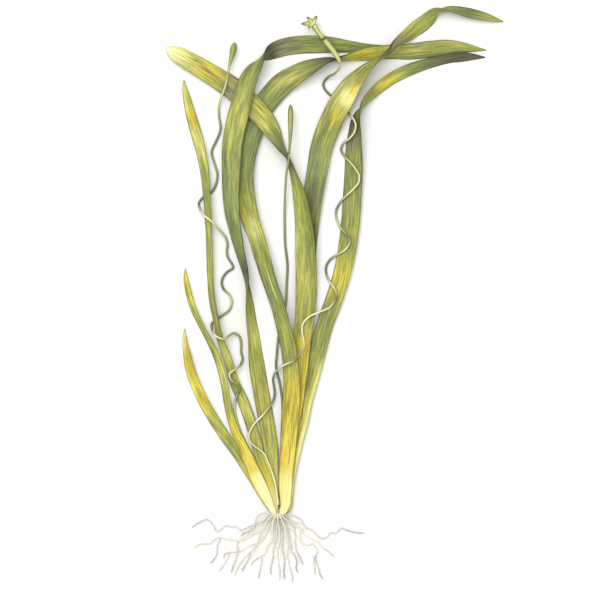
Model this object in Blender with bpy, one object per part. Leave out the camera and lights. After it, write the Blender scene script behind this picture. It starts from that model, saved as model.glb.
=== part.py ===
# A bare-rooted tape grass (Vallisneria), laid on its back on a flat surface at z = 0.
# The plant's own upward direction is +Y, the viewer looks down on it along -Z.
# Every leaf, flower stalk, bud and root is one closed solid. Metres, +Z up.

from math import atan2, copysign, cos, degrees, pi, radians, sin

import bmesh
import bpy
import numpy as np
from mathutils import Vector

# Driving dimensions, in millimetres
MM = 0.001
CROWN_X, CROWN_Y = -40.0, -153.2      # the crown, from the middle of the whole plant's outline
BLADE_THICK = 0.8                     # a leaf blade through its middle
MARGIN = 0.6                          # a blade's thickness at its edges, as a share of that
THIN_BELOW = 5.0                      # narrower than this, a blade gets thinner towards its tip
TIP_THICK = 0.4                       # its thickness at the very tip, as a share of the full one
TIP_WIDTH = 0.6                       # and its width there
CHANNEL = 0.04                        # how far a flat blade's edges stand up, per width
CURL = 0.16                           # how much more they do where the blade stands on edge
STALK_R = 0.8                         # a flower stalk's radius
ROOT_R, ROOT_TIP_R = 0.6, 0.35        # a root's radius at the crown and at its tip
BLADE_STEP, BLADE_TURN = 13.0, 17.0   # longest step along a blade in mm, and in degrees of turn
STALK_STEP, STALK_TURN = 12.0, 26.0
ROOT_STEP, ROOT_TURN = 7.0, 40.0
STALK_SIDES, ROOT_SIDES, BUD_SIDES, FLOWER_SIDES = 6, 4, 10, 24
SAMPLES = 800                         # how finely a course is measured before it gets its steps
SHARP_EDGE = 50.0                     # degrees between faces that meet in a crisp edge

# Colours (red, green, blue, linear) and roughness
BLADE_ROUGH = 0.45
STALK_PAINT = (0.34, 0.36, 0.16), 0.5
BUD_PAINT = (0.42, 0.44, 0.12), 0.5
SPATHE_PAINT = (0.50, 0.52, 0.20), 0.5
FLOWER_PAINT = (0.56, 0.58, 0.25), 0.5
CROWN_PAINT = (0.66, 0.60, 0.44), 0.6
ROOT_PAINT = (0.62, 0.58, 0.52), 0.7

# Leaves. Each row: right of the crown, above the crown, width, turn, height of the underside.
# The turn is in degrees about the blade's own length: 0 face up, 90 on edge, 180 back up.

# Narrow leaf on the left, which the left flower stalk coils around
OUTER_LEFT = [
    (-1.5, 4.5, 4.2, 0, 2.7), (-3, 13.5, 4.5, 0, 2.7), (-5, 21.5, 5.6, 0, 2.6),
    (-8, 30, 6.3, 0, 2.3), (-12, 40, 7.2, 0, 1.8), (-17, 57.5, 7.7, 0, 0.8),
    (-23.5, 77, 7.7, 0, 0.2), (-30.5, 93, 7, 14, 0), (-34.5, 107, 6.6, 21, 0.5),
    (-40, 124, 6.3, 41, 1.6), (-42.5, 136.5, 6.2, 47, 1.9), (-45, 149, 6, 44, 1),
    (-46.5, 166.5, 6, 43, 0), (-47, 185.5, 6, 43, 0.3), (-48, 210, 6.3, 39, 1.9),
    (-49, 223.5, 6.6, 35, 1.9), (-50.5, 237.5, 7, 28, 0.8), (-53, 252, 7.7, 25, 0),
    (-57.5, 268, 8, 11, 0), (-61, 280.5, 6.9, 16, 0), (-63.5, 291, 5.3, 13, 0),
    (-65, 298, 3.2, 12, 0), (-65.5, 303, 0.7, 0, 0),
]

# Short yellowing leaf, in front at the crown
SHORT_YELLOW = [
    (-4, 4, 4.9, 0, 3.8), (-7.5, 11, 7.3, 0, 3.7), (-13.5, 23, 9, 0, 2.9), (-19, 35, 8, 0, 2.4),
    (-24, 46, 6.9, 0, 2.1), (-29.5, 57.5, 5.9, 0, 1.7), (-33, 69, 5.7, 18, 0.6),
    (-35, 78.5, 5.7, 30, 0), (-38, 95, 5.6, 27, 0), (-44, 114, 5.5, 34, 0),
    (-52, 129.5, 5.2, 40, 0), (-58.5, 143, 4.9, 35, 0), (-62.5, 156.5, 4.5, 23, 0),
    (-64, 164, 3.5, 16, 0), (-64.5, 171, 0.7, 0, 0),
]

# Lowest leaf on the left
SHORT_LOW = [
    (-5, 4, 4.9, 0, 0), (-11, 13.5, 5.9, 0, 0), (-16.5, 23, 6.3, 0, 0), (-23, 33, 6.3, 0, 0),
    (-29.5, 43.5, 6.9, 0, 0), (-37, 54, 7.4, 0, 0), (-45, 66.5, 7.6, 14, 0), (-54, 83, 7.7, 17, 0),
    (-61, 101, 7.2, 21, 0), (-63, 111.5, 6, 28, 0), (-64.5, 119.5, 4.2, 30, 0),
    (-65, 129, 0.7, 0, 0),
]

# Tall leaf that turns over halfway up and again where it bends to the right
TALL_LEFT = [
    (-1.5, 5, 4.9, 0, 1.3), (-2, 12.5, 5.6, 0, 1.3), (-2, 22.5, 6.3, 0, 1.2), (-3, 33, 7.3, 0, 1),
    (-4.5, 44, 9.8, 0, 0.6), (-6, 54, 10.5, 0, 0.2), (-10.5, 79, 11.3, 9, 0),
    (-14.5, 102, 11.5, 19, 0), (-17, 119.5, 11.2, 40, 0), (-19.5, 135, 10.8, 52, 0),
    (-21, 148.5, 10.5, 64, 0), (-22, 159.5, 10.1, 90, 0), (-24, 169.5, 10.1, 117, 0),
    (-27, 181.5, 10.5, 128, 0), (-29.5, 193, 11.4, 136, 0.6), (-32, 208, 12.5, 146, 1.5),
    (-33, 223.5, 13.2, 152, 1.8), (-32.5, 240, 13.7, 164, 2), (-31.5, 259.5, 14.3, 169, 2.6),
    (-27, 280, 14.5, 171, 3.4), (-23.5, 293.5, 14, 166, 3.5), (-20, 304.5, 13.3, 158, 2.4),
    (-15.5, 313, 12.6, 134, 0.8), (-11, 318.5, 12.2, 90, 0), (-6.5, 322, 12.2, 51, 0),
    (1, 325, 12.2, 24, 0), (13.5, 327.5, 12.4, 9, 0), (26, 328, 12.1, 11, 0),
    (39.5, 327.5, 10.5, 13, 0), (50, 326.5, 8.3, 15, 0), (62, 326, 5.1, 16, 0),
    (71, 326.5, 2.4, 14, 0), (76.5, 327, 0.7, 0, 0),
]

# Tall leaf that bends to the right and turns over near its end
TALL_MIDDLE = [
    (5, 4.5, 6.3, 0, 4), (5.5, 16, 8.8, 0, 4), (6, 30, 9.9, 0, 4), (7.5, 47.5, 11.2, 0, 4),
    (8.5, 65, 12.1, 0, 4), (10, 84.5, 12.2, 0, 4), (9.5, 102, 11.5, 14, 3.8),
    (8, 115.5, 11.5, 25, 3), (5, 129, 11.6, 29, 2.4), (0.5, 146.5, 11.7, 32, 2.2),
    (-5, 162.5, 11.9, 33, 1.6), (-10, 178.5, 12.3, 26, 0.8), (-14, 192.5, 12.6, 24, 0.2),
    (-18.5, 205, 13.3, 19, 0), (-21.5, 219, 13.4, 16, 0), (-23, 234.5, 13.6, 18, 0),
    (-22, 248.5, 14, 12, 0), (-18, 265.5, 14.8, 8, 0), (-13, 279.5, 15.8, 5, 0),
    (-5, 291, 16.1, 5, 0), (4, 300.5, 16.2, 8, 0), (14.5, 307, 15.3, 23, 0), (23, 311, 14, 32, 0),
    (30.5, 313.5, 12, 48, 0), (37.5, 315.5, 10.2, 70, 0), (42.5, 316, 9.2, 90, 0),
    (48, 316.5, 9.2, 109, 0), (54, 318, 9.6, 128, 0.7), (61, 320, 9.4, 148, 1.1),
    (69, 321.5, 9.4, 164, 1.1), (79, 322.5, 10.2, 168, 0.2), (93.5, 323, 11.3, 173, 0),
    (107, 324.5, 11.5, 174, 0), (120, 326, 9.8, 170, 0), (132, 325.5, 6.2, 168, 0),
    (140.5, 324.5, 3, 168, 0), (146, 324, 0.7, 180, 0),
]

# Leaf that turns over two thirds of the way up and crosses to the left
CROSSING = [
    (6.5, 4.5, 5.6, 0, 2.7), (6.5, 16, 6.6, 0, 2.7), (8, 30, 7.7, 0, 2.7), (9.5, 47.5, 8, 0, 2.7),
    (11.5, 64.5, 8.4, 0, 2.7), (14, 82, 9.4, 0, 2.7), (16, 103, 11.1, 0, 2.6),
    (17.5, 123, 12.6, 0, 2.5), (19, 136.5, 13.6, 0, 2.6), (20, 156, 14.7, 0, 2.6),
    (20, 175.5, 14.7, 8, 2.4), (19.5, 194, 14.3, 23, 1.8), (18, 212, 13.6, 37, 0.9),
    (16, 225.5, 13, 51, 0.3), (13, 236.5, 11.5, 67, 0), (8.5, 248, 10.6, 90, 0),
    (4, 256, 11.2, 120, 0.6), (-2, 265.5, 13, 149, 1.9), (-9.5, 276, 14.3, 173, 2.4),
    (-19, 286, 15.3, 177, 2), (-30.5, 296.5, 15.5, 177, 1.4), (-41.5, 304, 14.8, 174, 0.6),
    (-53.5, 311.5, 14, 169, 0.2), (-65, 318.2, 13.2, 168, 0), (-69.5, 320.8, 12.2, 168, 0),
    (-73.5, 323, 9.2, 168, 0), (-76.3, 324.5, 5.4, 168, 0), (-78, 325.5, 0.7, 180, 0),
]

# Broad leaf, hidden at first, that turns over at its bend and again near its tip
BROAD = [
    (6.5, 4.5, 5.6, 0, 0), (6.5, 16, 6.3, 0, 0), (7.5, 30, 7.3, 0, 0), (10, 47.5, 8, 0, 0),
    (12, 65, 8.8, 0, 0), (15, 82.5, 9.1, 0, 0), (17, 101.5, 9.8, 0, 0), (18.5, 123, 10.8, 0, 0),
    (19.5, 145.5, 11.7, 4, 0), (20.5, 170, 12.3, 4, 0), (21, 187, 13.1, 5, 0),
    (22.5, 203.5, 13.7, 9, 0), (25, 222, 14.1, 13, 0), (28, 240, 15, 11, 0),
    (30.5, 254, 15.4, 8, 0.3), (34.5, 266.5, 16.1, 0, 1.2), (40.5, 280, 16.1, 9, 2.2),
    (47, 291.5, 16.1, 12, 2.2), (52.5, 299.5, 14.8, 25, 1.8), (58, 305, 13.5, 39, 1.6),
    (63.5, 310, 12, 52, 2.2), (68.5, 313.5, 11, 67, 3), (72, 316, 10.5, 77, 3.8),
    (75.5, 318.5, 10, 90, 4.3), (79.5, 321.5, 10, 102, 4.5), (82.5, 325.5, 10, 115, 4),
    (86, 329, 10.2, 123, 3), (90, 332, 10.7, 137, 1.8), (96, 337.5, 11, 152, 0.6),
    (103, 343, 10.6, 164, 0), (109, 347.5, 10.1, 143, 0),
    (114, 350, 9.5, 90, 0), (120, 351, 9.1, 60, 0), (127, 350.5, 8.7, 38, 0),
    (136, 349, 8.4, 28, 0), (145, 347, 6.7, 26, 0), (153, 345, 3.5, 26, 0), (158, 344, 0.7, 0, 0),
]

# Outermost leaf on the right
OUTER_RIGHT = [
    (7, 4.5, 5.6, 0, 1.4), (8, 13.5, 6.3, 0, 1.4), (9, 26, 7.3, 0, 1.4), (11, 37, 7.7, 0, 1.4),
    (14.5, 52.5, 8, 0, 1.4), (17.5, 64.5, 8.4, 0, 1.4), (20, 78.5, 9.1, 0, 1.2),
    (23.5, 93, 10.1, 0, 1.2), (28, 112.5, 11.2, 0, 1.1), (33.5, 133, 11.9, 0, 0.5),
    (38, 145, 12, 9, 0.1), (43.5, 161.5, 12.3, 11, 0), (48, 180, 12.8, 10, 0),
    (51, 202, 13.2, 12, 0), (52.5, 222.5, 13.2, 13, 0), (53.5, 240, 13.2, 17, 0),
    (54, 255.5, 13, 32, 0), (55, 265.5, 12.6, 46, 0), (56, 273.5, 12, 60, 0),
    (58, 280, 11.3, 81, 0), (61, 285, 10.5, 105, 0), (65, 290, 10.1, 125, 0),
    (70.5, 296, 9.7, 139, 0), (80, 303.5, 9.1, 156, 0), (93, 310, 8.7, 158, 0),
    (107, 314.5, 7.8, 153, 0), (120.5, 318, 7.1, 159, 0), (132, 319, 6.3, 159, 0),
    (139.5, 319, 3.5, 157, 0), (145.5, 319, 0.7, 180, 0),
]

# Flower stalks. Each row: right of the crown, above the crown, height of the underside.

COILED_LEFT_STALK = [
    (-34.2, 308.6, 3.9), (-34.9, 304, 4.2), (-37, 296, 4.4), (-38.2, 292.8, 3.8),
    (-39.6, 289.2, 2.6), (-41, 284.6, 1.1), (-41, 279, 0.1),
    (-40, 268, 0), (-42.5, 261, 0), (-46, 252.5, 0), (-44, 244.5, 0), (-42, 237, 0), (-43, 230, 0),
    (-46, 224.5, 0), (-49.5, 222, 0), (-53, 220, 0), (-55, 216.5, 0.7), (-54, 212.5, 2.5),
    (-51, 208, 5.3), (-46.5, 204.5, 6.8), (-40.5, 198, 3.5), (-37, 194, 1.3), (-35, 188.5, 0.1),
    (-35.5, 183, 0), (-34.5, 178.5, 0), (-32, 174.5, 0), (-31, 172, 0), (-35.5, 168.5, 0),
    (-38.5, 164, 0), (-39, 160.5, 0), (-37.5, 156.5, 0), (-33.5, 152.5, 0), (-32, 148.5, 0),
    (-33.5, 142.5, 0), (-39, 138, 0), (-43, 135, 0), (-46, 132.5, 0.1), (-46, 130, 0.9),
    (-44.5, 125.5, 3.7), (-41, 123, 6.1), (-37, 122, 5.8), (-34, 124, 3.3), (-30.5, 126, 1.5),
    (-27, 124, 0.3), (-25.5, 119, 0), (-25.5, 113, 0), (-24.5, 107.5, 0.5), (-26.5, 103, 2.1),
    (-30, 100.5, 3.3), (-33.5, 97.5, 2.7), (-32.5, 93.5, 2.3), (-28.5, 90.5, 2.1),
    (-26.5, 87, 1.7), (-28, 83.5, 1.4), (-29.8, 78.5, 1), (-29.8, 72, 0), (-28.5, 65, 0),
    (-26, 57.5, 0), (-22.5, 49.5, 0), (-18.5, 42.5, 0.1), (-14.5, 35, 0.4), (-10.5, 26.5, 0.7),
    (-7.5, 18, 0.8), (-5.5, 11, 0.8),
]

STRAIGHT_STALK = [
    (8, 249, 11.6), (7.5, 244.5, 11.4), (6.5, 238.5, 9.6), (5.5, 225.5, 4.9), (5, 214, 1.5),
    (5, 201.5, 0), (5.5, 187, 0), (7, 174, 0), (6.5, 160.5, 0), (6, 147.5, 0), (3, 133.5, 0),
    (0.5, 122, 0), (-0.5, 111, 0), (-1, 102, 0), (1, 93, 0), (3, 81, 0), (3.5, 72, 0),
    (3.5, 58, 0.3), (2.5, 44, 0.8), (2.5, 30, 1.1), (2, 16, 1.2), (2, 5.5, 1.2),
]

COILED_RIGHT_STALK = [
    (43.6, 312.6, 10.4), (43, 310, 8.3), (40, 307, 4.7), (35.5, 305, 1.7),
    (33, 302.5, 0.3), (32, 299.5, 0), (33.5, 296, 0), (37.5, 292, 0), (44, 286, 0),
    (50, 279.5, 0.9), (53.5, 274.5, 3.4), (54.6, 270.5, 6), (53.8, 266.5, 5.4), (50, 261.5, 2.6),
    (46, 258.5, 0.3), (44.5, 254.5, 0), (46.5, 250, 0.5), (50, 246, 2.1), (54.5, 240.5, 3.1),
    (57, 235.5, 3.6), (56.5, 231, 3.4), (52.5, 226, 2.1), (47, 221, 1.3), (43, 216, 0.1),
    (41, 211, 0), (41.5, 205.5, 0), (44.5, 199, 1), (48.5, 194.5, 1.9), (50.5, 190, 2.1),
    (48, 185, 1.7), (42.5, 181, 0.9), (37, 177.5, 0), (34, 172, 0), (34.5, 166, 0.2),
    (36.5, 162, 0.7), (39, 158.5, 1.3), (41, 154.5, 1.7), (40.5, 149.5, 1.9), (37, 144.5, 2.2),
    (28.5, 140.5, 3.9), (21.5, 137, 4.3), (17.5, 132, 4.3), (17, 127.5, 4.3), (18, 122, 4.3),
    (18.5, 117, 6.1), (15.5, 111.5, 8.4), (11.5, 107, 7.6), (6, 104.5, 6.2), (2, 102, 4.1),
    (-1.5, 98.5, 2.1), (-3, 94.5, 1.7), (-2.5, 89, 1.1), (-2, 83.5, 0.9), (-3.5, 77.5, 1.3),
    (-6, 74, 1.7), (-10.5, 68.5, 1.9), (-15, 64, 1.9), (-18.5, 59, 2.1), (-20, 53.5, 2.3),
    (-18, 49, 2.4), (-13.5, 45.5, 2.9), (-9, 41.5, 3.1), (-6.5, 36, 3.3), (-4, 29.5, 3.5),
    (-2, 23, 3.9), (-0.5, 14.5, 4.3), (0.5, 6, 4.5),
]

# Roots, from the crown outwards. The rows read as the stalks' do.
ROOTS = {
    "root_01": [
        (-5.9, -1.4, 1.2), (-9, -4.6, 0.6), (-14.5, -7.5, 0), (-19.5, -9, 0), (-25.5, -11.5, 0),
        (-30, -9.5, 0), (-33, -9.5, 0), (-36.5, -8.8, 0), (-39, -10.8, 0), (-42.5, -13, 0),
        (-44.5, -9, 0), (-46.5, -6.5, 0), (-49, -4.5, 0), (-54.5, -6.5, 0), (-58, -8.5, 0),
        (-60.5, -10.5, 0),
    ],
    "root_02": [
        (-5.4, -2.6, 3.2), (-8.4, -7.4, 1.8), (-11.5, -12.5, 0.6), (-16.5, -14.5, 0), (-21, -17.5, 0),
        (-27.5, -19.5, 0), (-34.5, -18.5, 0), (-40, -17, 0), (-43.5, -18, 0), (-47.5, -21.5, 0),
        (-51, -21.5, 0), (-53.5, -21.5, 0), (-58.5, -24.5, 0),
    ],
    "root_03": [
        (-40.2, -18.1, 0), (-41.7, -22, 0), (-42.5, -28.5, 0), (-44.5, -32.5, 0), (-47, -35.5, 0),
    ],
    "root_04": [
        (-4, -3.5, 0.6), (-6.2, -8.5, 0), (-7.5, -13, 0), (-12, -19.5, 0), (-18.5, -22, 0),
        (-25.5, -26.5, 0), (-28, -27, 0), (-33.5, -27.5, 0), (-37, -29, 0), (-38, -32, 0),
    ],
    "root_05": [
        (-27.9, -20.4, 0.2), (-28, -24.5, 1.3), (-28, -27, 1.5), (-28.5, -30, 0.4), (-29.5, -33.5, 0),
        (-31.5, -38.5, 0), (-32.5, -42, 0),
    ],
    "root_06": [
        (-33.6, -28.5, 0), (-36.5, -34.5, 0), (-39.5, -39, 0), (-41, -41, 0),
    ],
    "root_07": [
        (-12.1, -14.2, 0.5), (-13.5, -18, 1.4), (-14.5, -21.5, 1.5), (-15.5, -24, 0.4),
        (-18.5, -26.5, 0), (-22, -30, 0), (-25.5, -34.5, 0), (-28, -39, 0), (-30, -44, 0),
    ],
    "root_08": [
        (-19, -29, 0), (-21, -33.5, 0), (-23.5, -38, 0), (-25, -41, 0),
    ],
    "root_09": [
        (-2.7, -4.1, 3.4), (-3.5, -10.5, 1.8), (-3.5, -16, 0.4), (-4.5, -20.5, 0), (-7, -23, 0),
        (-8.5, -27.5, 0), (-11, -30, 0), (-14.5, -32, 0), (-16.5, -33.5, 0), (-18.5, -37, 0),
    ],
    "root_10": [
        (-10.9, -31, 0), (-11.7, -38, 0), (-12.5, -42, 0), (-13.5, -46, 0),
    ],
    "root_11": [
        (-1.5, -4.1, 0.9), (-0.7, -10, 0), (-0.5, -17, 0), (-1.5, -22, 0), (-3, -25.5, 0),
        (-3, -31, 0), (-4, -35.5, 0), (-5, -40, 0), (-4, -43.5, 0),
    ],
    "root_12": [
        (0.2, -4.3, 3.3), (1.3, -12, 1.6), (1.5, -19.5, 0.4), (0, -26.5, 0), (0.5, -33, 0),
        (1.5, -40, 0), (1.5, -47.5, 0),
    ],
    "root_13": [
        (1.3, -4.1, 0.9), (3.2, -10, 0), (4, -17, 0), (3.5, -26.5, 0), (5, -33.5, 0), (4.5, -42, 0),
        (5, -46.5, 0),
    ],
    "root_14": [
        (2.9, -4.1, 3.4), (5.2, -10, 1.9), (7, -19.5, 0.3), (7, -30, 0), (8, -34.5, 0), (9, -40, 0),
        (10.5, -44.5, 0), (10, -48.5, 0),
    ],
    "root_15": [
        (4, -3.5, 0.6), (7.2, -10, 0), (9, -19.5, 0), (9.5, -26.5, 0), (12.5, -31, 0),
        (13.5, -35.5, 0), (13, -39, 0), (14.5, -42, 0),
    ],
    "root_16": [
        (5, -3.1, 3.2), (8.2, -6.6, 2), (11.5, -10.5, 0.6), (12.5, -17.5, 0), (12.5, -21.5, 0),
        (13.5, -27, 0), (16, -31.5, 0), (18, -36.5, 0),
    ],
    "root_17": [
        (5.7, -1.9, 0.7), (9, -4.4, 0), (12, -6.5, 0), (15.5, -10, 0), (16, -16, 0), (16.5, -19, 0),
        (18.5, -21.5, 0), (21.5, -22.5, 0), (23.5, -21.5, 0), (26, -23, 0), (28, -27, 0),
        (25.5, -31, 0), (25.5, -33.5, 0), (26, -38, 0), (26, -43.5, 0),
    ],
    "root_18": [
        (26.9, -31.6, 0), (28.5, -38, 0), (30, -43.5, 0), (32, -46.5, 0),
    ],
    "root_19": [
        (17.1, -11.5, 0), (19.3, -15.5, 0), (24, -18, 0), (29.5, -21.5, 0), (31.5, -24, 0),
        (35, -26.5, 0), (40, -30.5, 0),
    ],
    "root_20": [
        (6.1, -0.9, 2.9), (9.5, -0.9, 2.4), (13.5, -2.5, 1), (17, -5, 0.2), (18.5, -8.5, 0),
        (20, -10.5, 0), (23.5, -11.5, 0), (27, -14.5, 0), (29.5, -17, 0), (32, -18, 0),
        (34.5, -16.5, 0), (37.5, -13.8, 0), (40.5, -13.8, 0), (45, -10.5, 0), (48.5, -12, 0),
        (54, -13.5, 0), (61, -14, 0),
    ],
    "root_21": [
        (-6.1, 0.2, 3.4), (-11, 0.2, 2.9), (-14.5, -2.5, 2.2), (-15.5, -5.5, 1.7), (-16.5, -9, 1.6),
        (-18.5, -12, 0.6), (-23.5, -14, 0), (-26, -16, 0),
    ],
}

# Buds and the open flower's tube. Each row: right, above, height of the underside, radius.
BUD_LEFT = [
    (-34.1, 309.4, 3.8, 0.8), (-33.4, 313.2, 3.0, 1.0), (-31.9, 319.2, 1.8, 1.7),
    (-30.7, 324.5, 1.0, 2.2), (-30.0, 327.5, 1.4, 1.6), (-29.6, 329.2, 2.3, 0.4),
]
BUD_MIDDLE = [
    (8.1, 250.2, 11.5, 0.8), (8.6, 256.0, 10.0, 0.9), (9.0, 263.5, 7.8, 1.3),
    (9.2, 271.5, 6.2, 1.7), (9.2, 278.5, 5.2, 1.9), (9.2, 283.0, 5.2, 1.4), (9.2, 285.5, 6.0, 0.4),
]
SPATHE = [
    (43.5, 313.4, 10.6, 0.8), (42.9, 315.0, 10.5, 1.2), (41.6, 317.3, 10.2, 1.6),
    (39.3, 321.3, 7.4, 1.9), (36.2, 325.5, 5.4, 2.0), (32.6, 330.2, 4.4, 2.1),
]

# The open flower: its neck, then three lobes and a small one that spread from its centre
FLOWER_NECK = [(31.8, 331.3, 4.4, 1.7), (29.4, 334.7, 3.0, 1.6), (27.2, 337.8, 1.7, 1.7)]
FLOWER_AT = (24.5, 341.4, 6.4)        # right of the crown, above it, height of the lobes
LOBES = [(180.0, 8.2), (128.0, 6.6), (62.0, 6.6), (225.0, 4.4)]  # direction in degrees, reach
LOBE_SPREAD = 24.0                    # a lobe's half angle in degrees
LOBE_THICK = 0.8
FLOWER_RINGS = [                      # reach between the lobes, share of their reach, height
    (1.6, 0.1, -1.6), (1.9, 1.0, -LOBE_THICK), (1.9, 1.0, 0.0), (1.2, 0.3, -0.3),
]

# The crown: a short fleshy knob with rounded-off corners
CROWN_HALF = (5.5, 3.8, 3.3)          # right, above, up
CROWN_LOW = 0.2                       # height of its underside
CROWN_MIDDLE = 0.3                    # its centre, above the crown point
CROWN_SQUARE = 0.6                    # 1 for an ellipsoid, less for a boxier body
CROWN_AROUND, CROWN_UP = 16, 10       # its faces round about, and from pole to pole

LEAVES = {
    # name: (rows, which way it turns, colour)
    "leaf_outer_left": (OUTER_LEFT, 1, (0.33, 0.35, 0.07)),
    "leaf_short_yellow": (SHORT_YELLOW, 1, (0.55, 0.46, 0.07)),
    "leaf_short_low": (SHORT_LOW, 1, (0.46, 0.42, 0.07)),
    "leaf_tall_left": (TALL_LEFT, -1, (0.26, 0.31, 0.08)),
    "leaf_tall_middle": (TALL_MIDDLE, 1, (0.28, 0.33, 0.07)),
    "leaf_crossing": (CROSSING, 1, (0.30, 0.32, 0.08)),
    "leaf_broad": (BROAD, 1, (0.29, 0.33, 0.08)),
    "leaf_outer_right": (OUTER_RIGHT, 1, (0.26, 0.30, 0.08)),
}


def place(x, y, z):
    """A point measured in millimetres from the crown, in metres from the part's origin."""
    return Vector(((CROWN_X + x) * MM, (CROWN_Y + y) * MM, z * MM))


def paint(piece, colour, roughness):
    """Give a piece a material of its own."""
    material = bpy.data.materials.new(piece.name)
    material.use_nodes = True
    shader = material.node_tree.nodes["Principled BSDF"]
    shader.inputs["Base Color"].default_value = (*colour, 1.0)
    shader.inputs["Roughness"].default_value = roughness
    shader.inputs["Metallic"].default_value = 0.0
    piece.data.materials.append(material)


def smooth_curve(rows, spots):
    """Rows read at some distances along the smooth curve through them."""
    rows = np.array(rows, float)
    gaps = np.linalg.norm(np.diff(rows[:, :2], axis=0), axis=1)
    at = np.concatenate(([0.0], np.cumsum(gaps)))
    slope = np.gradient(rows, at, axis=0)
    near = np.clip(np.searchsorted(at, spots * at[-1], side="right") - 1, 0, len(gaps) - 1)
    gap = gaps[near][:, None]
    t = (spots * at[-1] - at[near])[:, None] / gap
    ahead = t * t * (3.0 - 2.0 * t)
    return (
        rows[near] * (1.0 - ahead)
        + rows[near + 1] * ahead
        + gap * slope[near] * t * (1.0 - t) ** 2
        - gap * slope[near + 1] * t * t * (1.0 - t)
    )


def read_along(rows, longest, sharpest, turn_column=None):
    """Rows along the curve, closer together where it bends or turns."""
    shares = np.linspace(0.0, 1.0, SAMPLES)
    fine = smooth_curve(rows, shares)
    steps = np.diff(fine[:, :2], axis=0)
    length = np.linalg.norm(steps, axis=1)
    heading = np.unwrap(np.arctan2(steps[:, 1], steps[:, 0]))
    bend = np.degrees(np.abs(np.diff(heading, prepend=heading[0])))
    if turn_column is not None:
        bend = bend + np.abs(np.diff(fine[:, turn_column]))
    effort = np.concatenate(([0.0], np.cumsum(length / longest + bend / sharpest)))
    count = int(np.ceil(effort[-1]))
    spots = np.interp(np.linspace(0.0, effort[-1], count + 1), effort, shares)
    return smooth_curve(rows, spots)


def blade_section(width, turn):
    """A blade's outline across its length: across it and out of its face, edges a little up."""
    edge_up = width * (CHANNEL + CURL * sin(turn) ** 2)
    share = min(1.0, TIP_THICK + (1.0 - TIP_THICK) * width / THIN_BELOW)
    half = BLADE_THICK / 2.0 * share
    outline = []
    for side, face in ((-1, -MARGIN), (0, -1), (1, -MARGIN), (1, MARGIN), (0, 1), (-1, MARGIN)):
        outline.append((side * width / 2.0, edge_up * side * side + face * half))
    return outline


def loft(name, rings):
    """One closed solid through a row of rings, capped at both ends. The slanting edges of the
    two faces of a blade run the same way, so that it keeps its thickness where it twists."""
    shape = bmesh.new()
    loops = [[shape.verts.new(point) for point in ring] for ring in rings]
    count = len(loops[0])
    for low, high in zip(loops, loops[1:]):
        for i in range(count):
            j = (i + 1) % count
            if i < count // 2:
                shape.faces.new((low[i], low[j], high[j]))
                shape.faces.new((low[i], high[j], high[i]))
            else:
                shape.faces.new((low[i], low[j], high[i]))
                shape.faces.new((low[j], high[j], high[i]))
    shape.faces.new(reversed(loops[0]))
    shape.faces.new(loops[-1])
    bmesh.ops.recalc_face_normals(shape, faces=shape.faces)
    mesh = bpy.data.meshes.new(name)
    shape.to_mesh(mesh)
    shape.free()
    mesh.shade_smooth()
    mesh.set_sharp_from_angle(angle=radians(SHARP_EDGE))
    piece = bpy.data.objects.new(name, mesh)
    bpy.context.scene.collection.objects.link(piece)
    return piece


def blade(name, rows, hand):
    """A leaf: its cross-section carried along its course and turned about it."""
    rows = read_along(rows, BLADE_STEP, BLADE_TURN, turn_column=3)
    course = np.gradient(rows[:, :2], axis=0)
    course /= np.linalg.norm(course, axis=1)[:, None]
    rings = []
    for (x, y, width, turn, low), (run_x, run_y) in zip(rows, course):
        turn = radians(turn) * hand
        ring = []
        for across, out in blade_section(max(width, TIP_WIDTH), turn):
            sideways = across * cos(turn) - out * sin(turn)
            upwards = across * sin(turn) + out * cos(turn)
            ring.append((x + sideways * run_y, y - sideways * run_x, upwards))
        lift = max(low, 0.0) - min(point[2] for point in ring)
        rings.append([place(px, py, pz + lift) for px, py, pz in ring])
    return loft(name, rings)


def round_rings(rows, sides):
    """Rings across a round body: each row is right, above, height of the underside, radius."""
    centres = [place(x, y, max(low, 0.0) + radius) for x, y, low, radius in rows]
    rings = []
    for i, centre in enumerate(centres):
        before, after = centres[max(i - 1, 0)], centres[min(i + 1, len(centres) - 1)]
        right = (after - before).cross(Vector((0, 0, 1))).normalized()
        up = right.cross(after - before).normalized()
        radius = rows[i][3] * MM
        angles = [2 * pi * k / sides for k in range(sides)]
        rings.append([centre + (right * cos(a) + up * sin(a)) * radius for a in angles])
    return rings


def stem(name, rows, radii, longest, sharpest, sides):
    """A round stalk or root that tapers from one radius to the other."""
    rows = read_along(rows, longest, sharpest)
    sizes = np.linspace(radii[0], radii[1], len(rows))
    return loft(name, round_rings(np.column_stack((rows, sizes)), sides))


def lobe_reach(angle, small):
    """How far the flower's edge reaches in one direction, in millimetres."""
    reach = small
    for direction, length in LOBES:
        off = (angle - direction + 180.0) % 360.0 - 180.0
        if abs(off) < LOBE_SPREAD:
            reach = max(reach, small + (length - small) * cos(radians(90.0 * off / LOBE_SPREAD)))
    return reach


def flower(name):
    """The neck as round rings, then an underside and a dished upper side with its lobes."""
    rings = round_rings(FLOWER_NECK, FLOWER_SIDES)
    x, y, height = FLOWER_AT
    start = degrees(atan2(y - FLOWER_NECK[-1][1], x - FLOWER_NECK[-1][0])) - 90.0
    for small, share, z in FLOWER_RINGS:
        ring = []
        for k in range(FLOWER_SIDES):
            angle = start - 360.0 * k / FLOWER_SIDES
            reach = small + (lobe_reach(angle, small) - small) * share
            angle = radians(angle)
            ring.append(place(x + reach * cos(angle), y + reach * sin(angle), height + z))
        rings.append(ring)
    return loft(name, rings)


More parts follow.
